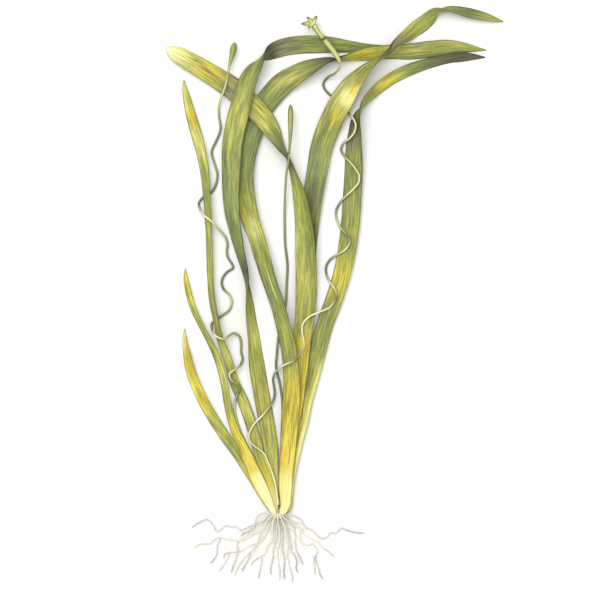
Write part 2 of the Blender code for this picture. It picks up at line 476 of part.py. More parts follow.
def crown(name):
    """A knob: a sphere drawn out to its three half sizes and squared off a little."""
    shape = bmesh.new()
    bmesh.ops.create_uvsphere(shape, u_segments=CROWN_AROUND, v_segments=CROWN_UP, radius=1.0)
    centre = place(0.0, CROWN_MIDDLE, CROWN_LOW + CROWN_HALF[2])
    for vert in shape.verts:
        squared = [copysign(abs(c) ** CROWN_SQUARE, c) * half for c, half in zip(vert.co, CROWN_HALF)]
        vert.co = centre + Vector(squared) * MM
    mesh = bpy.data.meshes.new(name)
    shape.to_mesh(mesh)
    shape.free()
    mesh.shade_smooth()
    piece = bpy.data.objects.new(name, mesh)
    bpy.context.scene.collection.objects.link(piece)
    return piece


for old in list(bpy.data.objects):
    bpy.data.objects.remove(old, do_unlink=True)

for leaf, (rows, hand, colour) in LEAVES.items():
    paint(blade(leaf, rows, hand), colour, BLADE_ROUGH)

for stalk, rows in (
    ("stalk_coiled_left", COILED_LEFT_STALK),
    ("stalk_straight", STRAIGHT_STALK),
    ("stalk_coiled_right", COILED_RIGHT_STALK),
):
    radii = (STALK_R, STALK_R)
    paint(stem(stalk, rows, radii, STALK_STEP, STALK_TURN, STALK_SIDES), *STALK_PAINT)

paint(loft("bud_left", round_rings(BUD_LEFT, BUD_SIDES)), *BUD_PAINT)
paint(loft("bud_middle", round_rings(BUD_MIDDLE, BUD_SIDES)), *BUD_PAINT)
paint(loft("spathe_right", round_rings(SPATHE, BUD_SIDES)), *SPATHE_PAINT)
paint(flower("flower"), *FLOWER_PAINT)

paint(crown("crown"), *CROWN_PAINT)
for root, rows in ROOTS.items():
    radii = (ROOT_R, ROOT_TIP_R)
    paint(stem(root, rows, radii, ROOT_STEP, ROOT_TURN, ROOT_SIDES), *ROOT_PAINT)
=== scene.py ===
# A bare-rooted tape grass (Vallisneria) laid on its back on a pale surface, seen from above.
# The plant's own upward direction is +Y. Lengths in the tables are millimetres from the crown.

from math import copysign, cos, pi, radians, sin

import bmesh
import bpy
import numpy as np
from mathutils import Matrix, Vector, noise


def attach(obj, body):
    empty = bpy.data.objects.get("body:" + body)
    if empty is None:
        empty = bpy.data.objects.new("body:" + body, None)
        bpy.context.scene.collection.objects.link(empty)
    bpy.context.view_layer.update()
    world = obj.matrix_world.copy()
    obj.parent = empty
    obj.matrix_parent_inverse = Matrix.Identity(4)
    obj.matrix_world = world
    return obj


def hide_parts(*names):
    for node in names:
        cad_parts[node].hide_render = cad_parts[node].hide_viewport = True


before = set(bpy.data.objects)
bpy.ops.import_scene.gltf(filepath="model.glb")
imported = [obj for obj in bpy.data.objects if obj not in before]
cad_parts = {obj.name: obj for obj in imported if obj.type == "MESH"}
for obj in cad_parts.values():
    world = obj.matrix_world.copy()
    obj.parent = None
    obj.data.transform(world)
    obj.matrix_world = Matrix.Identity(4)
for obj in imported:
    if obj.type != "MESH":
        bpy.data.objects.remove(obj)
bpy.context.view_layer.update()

# Ribbon leaves
# Eight strap-shaped leaves, each one soft blade of living tissue, thickest along its middle and
# thin at its margins, with fine veins along its length. They grow from the crown inside one
# another's cream-coloured sheaths, and several turn over where they bend.

MM = 0.001
CROWN = (-40.0, -153.2)               # the crown, from the middle of the whole plant's outline
BLADE_THICK = 0.8                     # through the middle of a blade
THIN_BELOW = 5.0                      # narrower than this, a blade gets thinner towards its tip
TIP_THICK = 0.4                       # its thickness at the very tip, as a share of the full one
TIP_WIDTH = 0.6                       # and its width there
BASE_ROUND = 1.6                      # the length over which a sheath's lower end is rounded
CHANNEL = 0.04                        # how far a flat blade's edges stand up, per width
CURL = 0.16                           # how much more they do where the blade stands on edge
LEAF_EDGE = 0.6                       # 1 for an elliptical section, less for a fuller one
SECTION_SAMPLES = 73                  # points round a section, to find its lowest
LEAF_AROUND = 72
LEAF_STATIONS = 380

# Tints of the leaf tissue, from the blanched sheaths to the dark undersides
TINTS = {
    "ivory": "#f3edbe", "cream": "#f0e6a0", "straw": "#d4ce80", "butter": "#bdb868",
    "honey": "#d9c658", "gold": "#c0b146", "ochre": "#b09e3c", "rust": "#a17e44",
    "lime": "#a1a152", "leaf": "#939650", "moss": "#868b50", "fern": "#7e8850",
    "sage": "#85935e", "lagoon": "#788457", "olive": "#71744c", "ash": "#818064",
    "umber": "#595642",
}

# Each leaf, from the crown to its tip. hand: the way it turns over, 1 or -1
# rows: right of the crown, above it, width, turn about its own length, height of the underside
# wash: share of the length, tint
# left, right: share of the length, painted shade or painted light on that side of the blade, -1 darker to
# 1 paler
# marks: share of the length, place across (-1 left, 1 right), length in mm, width as a share of
# the half blade, tint, strength
LEAVES = {
    "outer_left": dict(
        hand=1,
        rows=[
            (-0.4, 0.2, 2.6, 0, 3.6), (-1.5, 4.5, 4.2, 0, 2.7), (-3, 13.5, 4.5, 0, 2.7),
            (-5, 21.5, 5.6, 0, 2.6), (-8, 30, 6.3, 0, 2.3), (-12, 40, 7.2, 0, 1.8),
            (-17, 57.5, 7.7, 0, 0.8), (-23.5, 77, 7.7, 0, 0.2), (-30.5, 93, 7, 14, 0),
            (-34.5, 107, 6.6, 21, 0.5), (-40, 124, 6.3, 41, 1.6), (-42.5, 136.5, 6.2, 47, 1.9),
            (-45, 149, 6, 44, 1), (-46.5, 166.5, 6, 43, 0), (-47, 185.5, 6, 43, 0.3),
            (-48, 210, 6.3, 39, 1.9), (-49, 223.5, 6.6, 35, 1.9), (-50.5, 237.5, 7, 28, 0.8),
            (-53, 252, 7.7, 25, 0), (-57.5, 268, 8, 11, 0), (-61, 280.5, 6.9, 16, 0),
            (-63.5, 291, 5.3, 13, 0), (-65, 298, 3.2, 12, 0), (-65.5, 303, 0.7, 0, 0),
        ],
        wash=[
            (0, "cream"), (0.03, "cream"), (0.06, "honey"), (0.1, "gold"), (0.14, "lime"), (0.21, "lime"),
            (0.24, "butter"), (0.28, "lime"), (0.34, "lime"), (0.37, "butter"), (0.41, "lime"),
            (0.47, "leaf"), (0.6, "lime"), (0.72, "leaf"), (0.79, "leaf"), (0.83, "butter"),
            (0.88, "butter"), (0.91, "ochre"), (0.93, "gold"), (0.95, "lime"), (0.98, "butter"),
        ],
        left=[
            (0, 0), (0.2, -0.3), (0.3, -0.3), (0.45, -0.5), (0.6, -0.2), (0.68, -0.5), (0.8, -0.1),
            (1, 0.2),
        ],
        right=[
            (0, -0.3), (0.12, 0.2), (0.32, 0.2), (0.44, -0.5), (0.6, 0), (0.75, 0), (0.86, -0.3), (1, 0),
        ],
        marks=[
            (0.47, -0.7, 16, 0.5, "rust", 0.35), (0.84, 0.25, 11, 0.25, "ivory", 0.4),
            (0.935, -0.5, 9, 0.4, "straw", 0.3),
        ],
    ),
    "short_yellow": dict(
        hand=1,
        rows=[
            (-1.2, -0.6, 2.8, 0, 4.4), (-2.4, 1.3, 4.2, 0, 4.6), (-4, 4, 4.9, 0, 3.8),
            (-7.5, 11, 7.3, 0, 3.7), (-13.5, 23, 9, 0, 2.9), (-19, 35, 8, 0, 2.4), (-24, 46, 6.9, 0, 2.1),
            (-29.5, 57.5, 5.9, 0, 1.7), (-33, 69, 5.7, 18, 0.6), (-35, 78.5, 5.7, 30, 0),
            (-38, 95, 5.6, 27, 0), (-44, 114, 5.5, 34, 0), (-52, 129.5, 5.2, 40, 0),
            (-58.5, 143, 4.9, 35, 0), (-62.5, 156.5, 4.5, 23, 0), (-64, 164, 3.5, 16, 0),
            (-64.5, 171, 0.7, 0, 0),
        ],
        wash=[
            (0, "ivory"), (0.08, "ivory"), (0.16, "cream"), (0.19, "honey"), (0.24, "honey"),
            (0.28, "gold"), (0.38, "gold"), (0.43, "lime"), (0.5, "lime"), (0.56, "butter"),
            (0.6, "butter"), (0.63, "lime"), (0.7, "leaf"), (0.78, "leaf"), (0.82, "lime"),
            (0.87, "gold"), (0.91, "lime"), (0.94, "gold"), (0.98, "honey"),
        ],
        left=[
            (0, 0), (0.08, -0.6), (0.25, -0.5), (0.4, -0.5), (0.55, -0.4), (0.68, -0.8), (0.76, 0.2),
            (0.85, 0), (0.92, -0.3), (1, 0),
        ],
        right=[
            (0, 0), (0.15, 0.1), (0.22, 0.3), (0.31, 0.4), (0.38, 0), (0.5, 0.5), (0.6, 0.6), (0.75, 0.6),
            (0.9, 0.4), (1, 0.3),
        ],
        marks=[
            (0.05, 0.1, 9, 0.4, "ivory", 0.5), (0.25, 0.4, 8, 0.4, "ochre", 0.4),
            (0.85, 0.1, 5, 0.6, "olive", 0.3), (0.55, -0.2, 20, 0.4, "moss", 0.3),
        ],
    ),
    "short_low": dict(
        hand=1,
        rows=[
            (-1.8, 0, 2.6, 0, 1.6), (-3.2, 1.6, 3.8, 0, 0.6), (-5, 4, 4.9, 0, 0), (-11, 13.5, 5.9, 0, 0),
            (-16.5, 23, 6.3, 0, 0), (-23, 33, 6.3, 0, 0), (-29.5, 43.5, 6.9, 0, 0), (-37, 54, 7.4, 0, 0),
            (-45, 66.5, 7.6, 14, 0), (-54, 83, 7.7, 17, 0), (-61, 101, 7.2, 21, 0),
            (-63, 111.5, 6, 28, 0), (-64.5, 119.5, 4.2, 30, 0), (-65, 129, 0.7, 0, 0),
        ],
        wash=[
            (0, "ivory"), (0.12, "cream"), (0.18, "straw"), (0.27, "butter"), (0.31, "lime"),
            (0.35, "leaf"), (0.42, "leaf"), (0.46, "lime"), (0.56, "lime"), (0.6, "gold"), (0.67, "gold"),
            (0.72, "honey"), (0.77, "gold"), (0.85, "ochre"), (0.9, "gold"), (0.94, "butter"),
            (0.98, "straw"),
        ],
        left=[(0, 0.3), (0.3, 0), (0.4, -0.1), (0.55, 0), (0.65, 0.2), (0.8, 0.1), (0.92, 0.6), (1, 0.2)],
        right=[
            (0, 0.2), (0.3, 0.5), (0.37, 0.7), (0.42, 0.2), (0.5, -0.1), (0.65, -0.3), (0.8, -0.2),
            (1, 0),
        ],
        marks=[(0.57, 0.2, 8, 0.6, "ochre", 0.3), (0.8, 0.1, 9, 0.3, "rust", 0.25)],
    ),
    "tall_left": dict(
        hand=-1,
        rows=[
            (-0.2, 0.2, 3, 0, 2.8), (-1.5, 5, 4.9, 0, 1.3), (-2, 12.5, 5.6, 0, 1.3),
            (-2, 22.5, 6.3, 0, 1.2), (-3, 33, 7.3, 0, 1), (-4.5, 44, 9.8, 0, 0.6), (-6, 54, 10.5, 0, 0.2),
            (-10.5, 79, 11.3, 9, 0), (-14.5, 102, 11.5, 19, 0), (-17, 119.5, 11.2, 40, 0),
            (-19.5, 135, 10.8, 52, 0), (-21, 148.5, 10.5, 64, 0), (-22, 159.5, 10.1, 90, 0),
            (-24, 169.5, 10.1, 117, 0), (-27, 181.5, 10.5, 128, 0), (-29.5, 193, 11.4, 136, 0.6),
            (-32, 208, 12.5, 146, 1.5), (-33, 223.5, 13.2, 152, 1.8), (-32.5, 240, 13.7, 164, 2),
            (-31.5, 259.5, 14.3, 169, 2.6), (-27, 280, 14.5, 171, 3.4), (-23.5, 293.5, 14, 166, 3.5),
            (-20, 304.5, 13.3, 158, 2.4), (-15.5, 313, 12.6, 134, 0.8), (-11, 318.5, 12.2, 90, 0),
            (-6.5, 322, 12.2, 51, 0), (1, 325, 12.2, 24, 0), (13.5, 327.5, 12.4, 9, 0),
            (26, 328, 12.1, 11, 0), (39.5, 327.5, 10.5, 13, 0), (50, 326.5, 8.3, 15, 0),
            (62, 326, 5.1, 16, 0), (71, 326.5, 2.4, 14, 0), (76.5, 327, 0.7, 0, 0),
        ],
        wash=[
            (0, "cream"), (0.03, "cream"), (0.055, "straw"), (0.085, "butter"), (0.12, "lime"),
            (0.26, "lime"), (0.3, "butter"), (0.34, "lime"), (0.37, "leaf"), (0.39, "olive"),
            (0.41, "umber"), (0.43, "olive"), (0.47, "fern"), (0.52, "sage"), (0.6, "moss"),
            (0.64, "leaf"), (0.67, "lime"), (0.71, "leaf"), (0.76, "moss"), (0.785, "olive"),
            (0.8, "umber"), (0.82, "ash"), (0.86, "moss"), (0.92, "fern"), (1, "moss"),
        ],
        left=[
            (0, 0), (0.1, 0), (0.3, -0.2), (0.36, -0.4), (0.42, -0.5), (0.5, 0), (0.62, 0), (0.66, 0.3),
            (0.72, -0.2), (0.8, -0.6), (0.88, 0.2), (1, 0),
        ],
        right=[
            (0, 0.4), (0.08, 0), (0.3, -0.3), (0.38, -0.6), (0.44, -0.6), (0.5, -0.3), (0.58, -0.3),
            (0.66, 0.2), (0.74, -0.3), (0.8, -0.3), (0.9, -0.2), (1, -0.2),
        ],
        marks=[
            (0.672, -0.45, 14, 0.2, "straw", 0.5), (0.645, 0.25, 22, 0.12, "straw", 0.45),
            (0.685, 0.25, 5, 0.2, "honey", 0.6), (0.6, -0.65, 26, 0.3, "lime", 0.4),
            (0.555, -0.7, 12, 0.3, "rust", 0.25), (0.7, 0.75, 20, 0.3, "lime", 0.4),
            (0.3, -0.4, 16, 0.4, "butter", 0.3), (0.84, 0.3, 14, 0.3, "umber", 0.35),
        ],
    ),
    "tall_middle": dict(
        hand=1,
        rows=[
            (2, -0.7, 3, 0, 4.4), (3.4, 1.3, 5.2, 0, 4.6), (5, 4.5, 6.3, 0, 4), (5.5, 16, 8.8, 0, 4),
            (6, 30, 9.9, 0, 4), (7.5, 47.5, 11.2, 0, 4), (8.5, 65, 12.1, 0, 4), (10, 84.5, 12.2, 0, 4),
            (9.5, 102, 11.5, 14, 3.8), (8, 115.5, 11.5, 25, 3), (5, 129, 11.6, 29, 2.4),
            (0.5, 146.5, 11.7, 32, 2.2), (-5, 162.5, 11.9, 33, 1.6), (-10, 178.5, 12.3, 26, 0.8),
            (-14, 192.5, 12.6, 24, 0.2), (-18.5, 205, 13.3, 19, 0), (-21.5, 219, 13.4, 16, 0),
            (-23, 234.5, 13.6, 18, 0), (-22, 248.5, 14, 12, 0), (-18, 265.5, 14.8, 8, 0),
            (-13, 279.5, 15.8, 5, 0), (-5, 291, 16.1, 5, 0), (4, 300.5, 16.2, 8, 0),
            (14.5, 307, 15.3, 23, 0), (23, 311, 14, 32, 0), (30.5, 313.5, 12, 48, 0),
            (37.5, 315.5, 10.2, 70, 0), (42.5, 316, 9.2, 90, 0), (48, 316.5, 9.2, 109, 0),
            (54, 318, 9.6, 128, 0.7), (61, 320, 9.4, 148, 1.1), (69, 321.5, 9.4, 164, 1.1),
            (79, 322.5, 10.2, 168, 0.2), (93.5, 323, 11.3, 173, 0), (107, 324.5, 11.5, 174, 0),
            (120, 326, 9.8, 170, 0), (132, 325.5, 6.2, 168, 0), (140.5, 324.5, 3, 168, 0),
            (146, 324, 0.7, 180, 0),
        ],
        wash=[
            (0, "cream"), (0.05, "cream"), (0.08, "honey"), (0.11, "honey"), (0.14, "gold"),
            (0.2, "gold"), (0.23, "leaf"), (0.3, "leaf"), (0.34, "sage"), (0.38, "leaf"), (0.42, "lime"),
            (0.446, "butter"), (0.47, "lime"), (0.51, "moss"), (0.56, "fern"), (0.6, "lagoon"),
            (0.64, "fern"), (0.67, "moss"), (0.7, "lime"), (0.73, "moss"), (0.75, "olive"),
            (0.767, "umber"), (0.785, "leaf"), (0.81, "gold"), (0.84, "lime"), (0.88, "moss"),
            (0.92, "leaf"), (1, "leaf"),
        ],
        left=[
            (0, 0), (0.04, -0.6), (0.1, -0.9), (0.16, -0.6), (0.22, -0.3), (0.3, -0.4), (0.36, -0.5),
            (0.42, -0.1), (0.5, 0.3), (0.56, 0.3), (0.6, 0), (0.66, -0.2), (0.7, 0.1), (0.76, -0.6),
            (0.8, -0.2), (1, -0.2),
        ],
        right=[
            (0, 0), (0.1, 0.2), (0.16, -0.3), (0.25, 0.2), (0.35, -0.4), (0.42, -0.2), (0.5, -0.2),
            (0.6, -0.5), (0.7, -0.5), (0.76, -0.7), (0.82, 0), (0.9, 0.2), (1, 0.2),
        ],
        marks=[
            (0.14, 0.35, 24, 0.3, "ochre", 0.5), (0.205, 0.85, 20, 0.3, "rust", 0.5),
            (0.36, 0.05, 20, 0.07, "cream", 0.7), (0.44, 0, 12, 0.5, "ivory", 0.35),
            (0.675, -0.3, 12, 0.4, "butter", 0.6), (0.695, 0.2, 8, 0.25, "straw", 0.5),
            (0.81, 0.2, 14, 0.4, "ochre", 0.5), (0.9, 0.1, 22, 0.25, "butter", 0.3),
        ],
    ),
    "crossing": dict(
        hand=1,
        rows=[
            (2.8, 0, 3, 0, 3.2), (4.4, 1.6, 4.6, 0, 3.2), (6.5, 4.5, 5.6, 0, 2.7), (6.5, 16, 6.6, 0, 2.7),
            (8, 30, 7.7, 0, 2.7), (9.5, 47.5, 8, 0, 2.7), (11.5, 64.5, 8.4, 0, 2.7),
            (14, 82, 9.4, 0, 2.7), (16, 103, 11.1, 0, 2.6), (17.5, 123, 12.6, 0, 2.5),
            (19, 136.5, 13.6, 0, 2.6), (20, 156, 14.7, 0, 2.6), (20, 175.5, 14.7, 8, 2.4),
            (19.5, 194, 14.3, 23, 1.8), (18, 212, 13.6, 37, 0.9), (16, 225.5, 13, 51, 0.3),
            (13, 236.5, 11.5, 67, 0), (8.5, 248, 10.6, 90, 0), (4, 256, 11.2, 120, 0.6),
            (-2, 265.5, 13, 149, 1.9), (-9.5, 276, 14.3, 173, 2.4), (-19, 286, 15.3, 177, 2),
            (-30.5, 296.5, 15.5, 177, 1.4), (-41.5, 304, 14.8, 174, 0.6), (-53.5, 311.5, 14, 169, 0.2),
            (-65, 318.2, 13.2, 168, 0), (-69.5, 320.8, 12.2, 168, 0), (-73.5, 323, 9.2, 168, 0),
            (-76.3, 324.5, 5.4, 168, 0), (-78, 325.5, 0.7, 180, 0),
        ],
        wash=[
            (0, "cream"), (0.07, "cream"), (0.12, "straw"), (0.18, "honey"), (0.27, "gold"),
            (0.33, "gold"), (0.36, "lime"), (0.45, "lime"), (0.52, "leaf"), (0.57, "leaf"),
            (0.61, "lime"), (0.65, "leaf"), (0.675, "umber"), (0.7, "olive"), (0.735, "moss"),
            (0.765, "lime"), (0.8, "lime"), (0.83, "moss"), (0.85, "ash"), (0.875, "lime"),
            (0.91, "gold"), (0.935, "butter"), (0.96, "straw"), (1, "ivory"),
        ],
        left=[
            (0, 0), (0.3, -0.4), (0.38, -0.4), (0.44, -0.1), (0.52, 0.4), (0.6, 0.4), (0.66, -0.3),
            (0.72, 0), (0.85, 0.2), (1, 0),
        ],
        right=[
            (0, 0), (0.35, -0.2), (0.42, -0.6), (0.6, -0.6), (0.66, -0.4), (0.72, -0.1), (0.78, -0.3),
            (0.85, 0.1), (1, 0),
        ],
        marks=[
            (0.37, 0.3, 36, 0.08, "straw", 0.5), (0.5, -0.6, 30, 0.4, "butter", 0.2),
            (0.765, 0.4, 12, 0.35, "straw", 0.35), (0.78, -0.1, 10, 0.2, "honey", 0.3),
            (0.905, 0, 18, 0.08, "rust", 0.9), (0.93, -0.3, 15, 0.08, "rust", 0.7),
            (0.895, 0.35, 14, 0.07, "rust", 0.6), (0.89, -0.5, 12, 0.09, "ochre", 0.7),
            (0.915, 0.75, 18, 0.25, "lime", 0.5),
        ],
    ),
    "broad": dict(
        hand=1,
        rows=[
            (2.8, 0.4, 3, 0, 1), (4.8, 1.8, 4.6, 0, 0.6), (6.5, 4.5, 5.6, 0, 0), (6.5, 16, 6.3, 0, 0),
            (7.5, 30, 7.3, 0, 0), (10, 47.5, 8, 0, 0), (12, 65, 8.8, 0, 0), (15, 82.5, 9.1, 0, 0),
            (17, 101.5, 9.8, 0, 0), (18.5, 123, 10.8, 0, 0), (19.5, 145.5, 11.7, 4, 0),
            (20.5, 170, 12.3, 4, 0), (21, 187, 13.1, 5, 0), (22.5, 203.5, 13.7, 9, 0),
            (25, 222, 14.1, 13, 0), (28, 240, 15, 11, 0), (30.5, 254, 15.4, 8, 0.3),
            (34.5, 266.5, 16.1, 0, 1.2), (40.5, 280, 16.1, 9, 2.2), (47, 291.5, 16.1, 12, 2.2),
            (52.5, 299.5, 14.8, 25, 1.8), (58, 305, 13.5, 39, 1.6), (63.5, 310, 12, 52, 2.2),
            (68.5, 313.5, 11, 67, 3), (72, 316, 10.5, 77, 3.8), (75.5, 318.5, 10, 90, 4.3),
            (79.5, 321.5, 10, 102, 4.5), (82.5, 325.5, 10, 115, 4), (86, 329, 10.2, 123, 3),
            (90, 332, 10.7, 137, 1.8), (96, 337.5, 11, 152, 0.6), (103, 343, 10.6, 164, 0),
            (109, 347.5, 10.1, 143, 0), (114, 350, 9.5, 90, 0), (120, 351, 9.1, 60, 0),
            (127, 350.5, 8.7, 38, 0), (136, 349, 8.4, 28, 0), (145, 347, 6.7, 26, 0),
            (153, 345, 3.5, 26, 0), (158, 344, 0.7, 0, 0),
        ],
        wash=[
            (0, "cream"), (0.09, "straw"), (0.15, "lime"), (0.22, "leaf"), (0.3, "moss"), (0.42, "olive"),
            (0.52, "olive"), (0.56, "lagoon"), (0.6, "moss"), (0.63, "leaf"), (0.65, "lime"),
            (0.67, "butter"), (0.69, "straw"), (0.705, "butter"), (0.725, "leaf"), (0.76, "moss"),
            (0.78, "olive"), (0.79, "umber"), (0.81, "ash"), (0.84, "lime"), (0.88, "leaf"),
            (0.91, "moss"), (0.94, "olive"), (0.97, "leaf"), (1, "lime"),
        ],
        left=[
            (0, 0), (0.48, -0.3), (0.52, 0.1), (0.6, 0), (0.7, -0.3), (0.76, 0), (0.79, -0.6), (0.84, 0),
            (1, 0),
        ],
        right=[
            (0, 0), (0.48, 0.4), (0.56, 0.4), (0.6, -0.1), (0.68, 0.2), (0.74, 0.3), (0.79, -0.3),
            (0.86, 0), (1, 0),
        ],
        marks=[
            (0.645, 0.15, 8, 0.45, "ochre", 0.8), (0.657, 0.2, 7, 0.6, "gold", 0.8),
            (0.683, 0.3, 7, 0.6, "cream", 0.8), (0.703, 0.5, 5, 0.4, "honey", 0.9),
            (0.712, 0.4, 4, 0.3, "rust", 0.6), (0.665, -0.85, 18, 0.35, "moss", 0.6),
            (0.72, -0.4, 12, 0.4, "moss", 0.4),
        ],
    ),
    "outer_right": dict(
        hand=1,
        rows=[
            (3, 0.2, 3, 0, 2.2), (5.2, 1.7, 4.6, 0, 2), (7, 4.5, 5.6, 0, 1.4), (8, 13.5, 6.3, 0, 1.4),
            (9, 26, 7.3, 0, 1.4), (11, 37, 7.7, 0, 1.4), (14.5, 52.5, 8, 0, 1.4),
            (17.5, 64.5, 8.4, 0, 1.4), (20, 78.5, 9.1, 0, 1.2), (23.5, 93, 10.1, 0, 1.2),
            (28, 112.5, 11.2, 0, 1.1), (33.5, 133, 11.9, 0, 0.5), (38, 145, 12, 9, 0.1),
            (43.5, 161.5, 12.3, 11, 0), (48, 180, 12.8, 10, 0), (51, 202, 13.2, 12, 0),
            (52.5, 222.5, 13.2, 13, 0), (53.5, 240, 13.2, 17, 0), (54, 255.5, 13, 32, 0),
            (55, 265.5, 12.6, 46, 0), (56, 273.5, 12, 60, 0), (58, 280, 11.3, 81, 0),
            (61, 285, 10.5, 105, 0), (65, 290, 10.1, 125, 0), (70.5, 296, 9.7, 139, 0),
            (80, 303.5, 9.1, 156, 0), (93, 310, 8.7, 158, 0), (107, 314.5, 7.8, 153, 0),
            (120.5, 318, 7.1, 159, 0), (132, 319, 6.3, 159, 0), (139.5, 319, 3.5, 157, 0),
            (145.5, 319, 0.7, 180, 0),
        ],
        wash=[
            (0, "cream"), (0.06, "cream"), (0.1, "honey"), (0.14, "gold"), (0.18, "butter"),
            (0.23, "lime"), (0.27, "leaf"), (0.32, "moss"), (0.38, "leaf"), (0.41, "lime"),
            (0.45, "gold"), (0.48, "lime"), (0.53, "leaf"), (0.6, "moss"), (0.66, "moss"), (0.69, "ash"),
            (0.72, "umber"), (0.75, "moss"), (0.78, "leaf"), (0.81, "gold"), (0.84, "lime"),
            (0.87, "fern"), (0.9, "olive"), (0.94, "umber"), (1, "umber"),
        ],
        left=[
            (0, 0), (0.1, -0.6), (0.17, -1), (0.24, -1), (0.3, -0.3), (0.36, 0), (0.45, -0.2), (0.55, 0),
            (0.66, -0.2), (0.72, -0.5), (0.8, 0), (0.9, -0.2), (1, 0),
        ],
        right=[
            (0, 0.3), (0.12, 0.3), (0.27, 0.8), (0.31, 0.1), (0.4, -0.1), (0.6, 0), (0.7, -0.3),
            (0.76, 0), (0.82, -0.3), (0.9, -0.3), (1, 0),
        ],
        marks=[
            (0.12, 0.7, 34, 0.5, "cream", 0.9), (0.22, 0.85, 28, 0.4, "straw", 0.8),
            (0.2, -0.6, 26, 0.4, "olive", 0.6), (0.42, -0.1, 16, 0.4, "gold", 0.5),
            (0.815, 0, 10, 0.4, "honey", 0.5), (0.69, -0.6, 12, 0.4, "umber", 0.4),
            (0.67, 0.3, 16, 0.3, "rust", 0.2),
        ],
    ),
}


def smooth_curve(rows, spots):
    """Rows read at some shares of the length of the smooth curve through them."""
    rows = np.array(rows, float)
    gaps = np.linalg.norm(np.diff(rows[:, :2], axis=0), axis=1)
    at = np.concatenate(([0.0], np.cumsum(gaps)))
    slope = np.gradient(rows, at, axis=0)
    near = np.clip(np.searchsorted(at, spots * at[-1], side="right") - 1, 0, len(gaps) - 1)
    gap = gaps[near][:, None]
    t = (spots * at[-1] - at[near])[:, None] / gap
    ahead = t * t * (3.0 - 2.0 * t)
    return (
        rows[near] * (1.0 - ahead)
        + rows[near + 1] * ahead
        + gap * slope[near] * t * (1.0 - t) ** 2
        - gap * slope[near + 1] * t * t * (1.0 - t)
    )


def unit(vectors):
    """The same directions, one long."""
    return vectors / np.maximum(np.linalg.norm(vectors, axis=1), 1e-9)[:, None]


def guide_mesh(centres, side, face, half, cup, thick):
    """Bare points along a piece's middle, with its size and the way it faces at each. All in mm
    but the directions: half is its half width, thick its half thickness, cup the edges' rise."""
    steps = np.linalg.norm(np.diff(centres, axis=0), axis=1)
    run = np.concatenate(([0.0], np.cumsum(steps)))
    points = centres + np.array((*CROWN, 0.0))
    guide = bpy.data.meshes.new("guide")
    guide.from_pydata((points * MM).tolist(), [], [])
    for name, values in (("side", side), ("face", face)):
        kept = guide.attributes.new(name, "FLOAT_VECTOR", "POINT")
        kept.data.foreach_set("vector", np.ascontiguousarray(values, np.float32).ravel())
    for name, values in (
        ("half", half * MM), ("cup", cup * MM), ("thick", thick * MM),
        ("run", run), ("share", run / run[-1]),
    ):
        kept = guide.attributes.new(name, "FLOAT", "POINT")
        kept.data.foreach_set("value", np.ascontiguousarray(values, np.float32))
    return guide


def leaf_guide(rows, hand):
    """A blade's guide: where it lies, how it is turned, and its height above the surface."""
    x, y, width, turn, low = smooth_curve(rows, np.linspace(0.0, 1.0, LEAF_STATIONS)).T
    from_base = np.hypot(x - x[0], y - y[0])
    width = np.maximum(width * np.sqrt(np.clip(from_base / BASE_ROUND, 0.0, 1.0)), TIP_WIDTH)
    turn = np.radians(turn) * hand
    course = unit(np.gradient(np.column_stack((x, y)), axis=0))
    flat = np.column_stack((course[:, 1], -course[:, 0], np.zeros(len(x))))
    up = np.array((0.0, 0.0, 1.0))
    side = flat * np.cos(turn)[:, None] + up * np.sin(turn)[:, None]
    face = up * np.cos(turn)[:, None] - flat * np.sin(turn)[:, None]
    cup = width * (CHANNEL + CURL * np.sin(turn) ** 2)
    thick = BLADE_THICK / 2 * np.minimum(1.0, TIP_THICK + (1.0 - TIP_THICK) * width / THIN_BELOW)
    around = np.linspace(0.0, 2.0 * pi, SECTION_SAMPLES)[:, None]
    over, beside = np.sin(around), np.cos(around)
    out = cup * beside ** 2 + thick * np.sign(over) * np.abs(over) ** LEAF_EDGE
    lowest = (beside * width / 2 * np.sin(turn) + out * np.cos(turn)).min(axis=0)
    centres = np.column_stack((x, y, np.maximum(low, 0.0) - lowest))
    return guide_mesh(centres, side, face, width / 2, cup, thick)


def linear(colour):
    """An sRGB hex colour as linear RGBA."""
    shares = [int(colour[i:i + 2], 16) / 255 for i in (1, 3, 5)]
    return (*[s / 12.92 if s <= 0.04045 else ((s + 0.055) / 1.055) ** 2.4 for s in shares], 1.0)


def add(tree, kind, feeds=(), out=0, stops=(), **settings):
    """A new node with its settings, its sockets set to values or linked, and a colour ramp's
    stops: each a place from 0 to 1 and a colour or a grey. Gives one output."""
    made = tree.nodes.new(kind)
    for name, value in settings.items():
        setattr(made, name, value)
    for key, value in dict(feeds).items():
        if isinstance(value, bpy.types.NodeSocket):
            tree.links.new(value, made.inputs[key])
        else:
            made.inputs[key].default_value = value
    if stops:
        line = made.color_ramp.elements
        line.remove(line[1])
        line[0].position = stops[0][0]
        for place, value in stops:
            stop = line[0] if place == stops[0][0] else line.new(place)
            stop.color = linear(value) if isinstance(value, str) else (value, value, value, 1.0)
    return made.outputs[out]


def new_tree(name, sizes):
    """An empty Geometry Nodes tree: geometry in, the named sizes, geometry out."""
    tree = bpy.data.node_groups.new(name, "GeometryNodeTree")
    tree.interface.new_socket("Geometry", in_out="INPUT", socket_type="NodeSocketGeometry")
    for size, kind in sizes.items():
        tree.interface.new_socket(size, in_out="INPUT", socket_type="NodeSocket" + kind)
    tree.interface.new_socket("Geometry", in_out="OUTPUT", socket_type="NodeSocketGeometry")
    given = tree.nodes.new("NodeGroupInput").outputs
    return tree, given


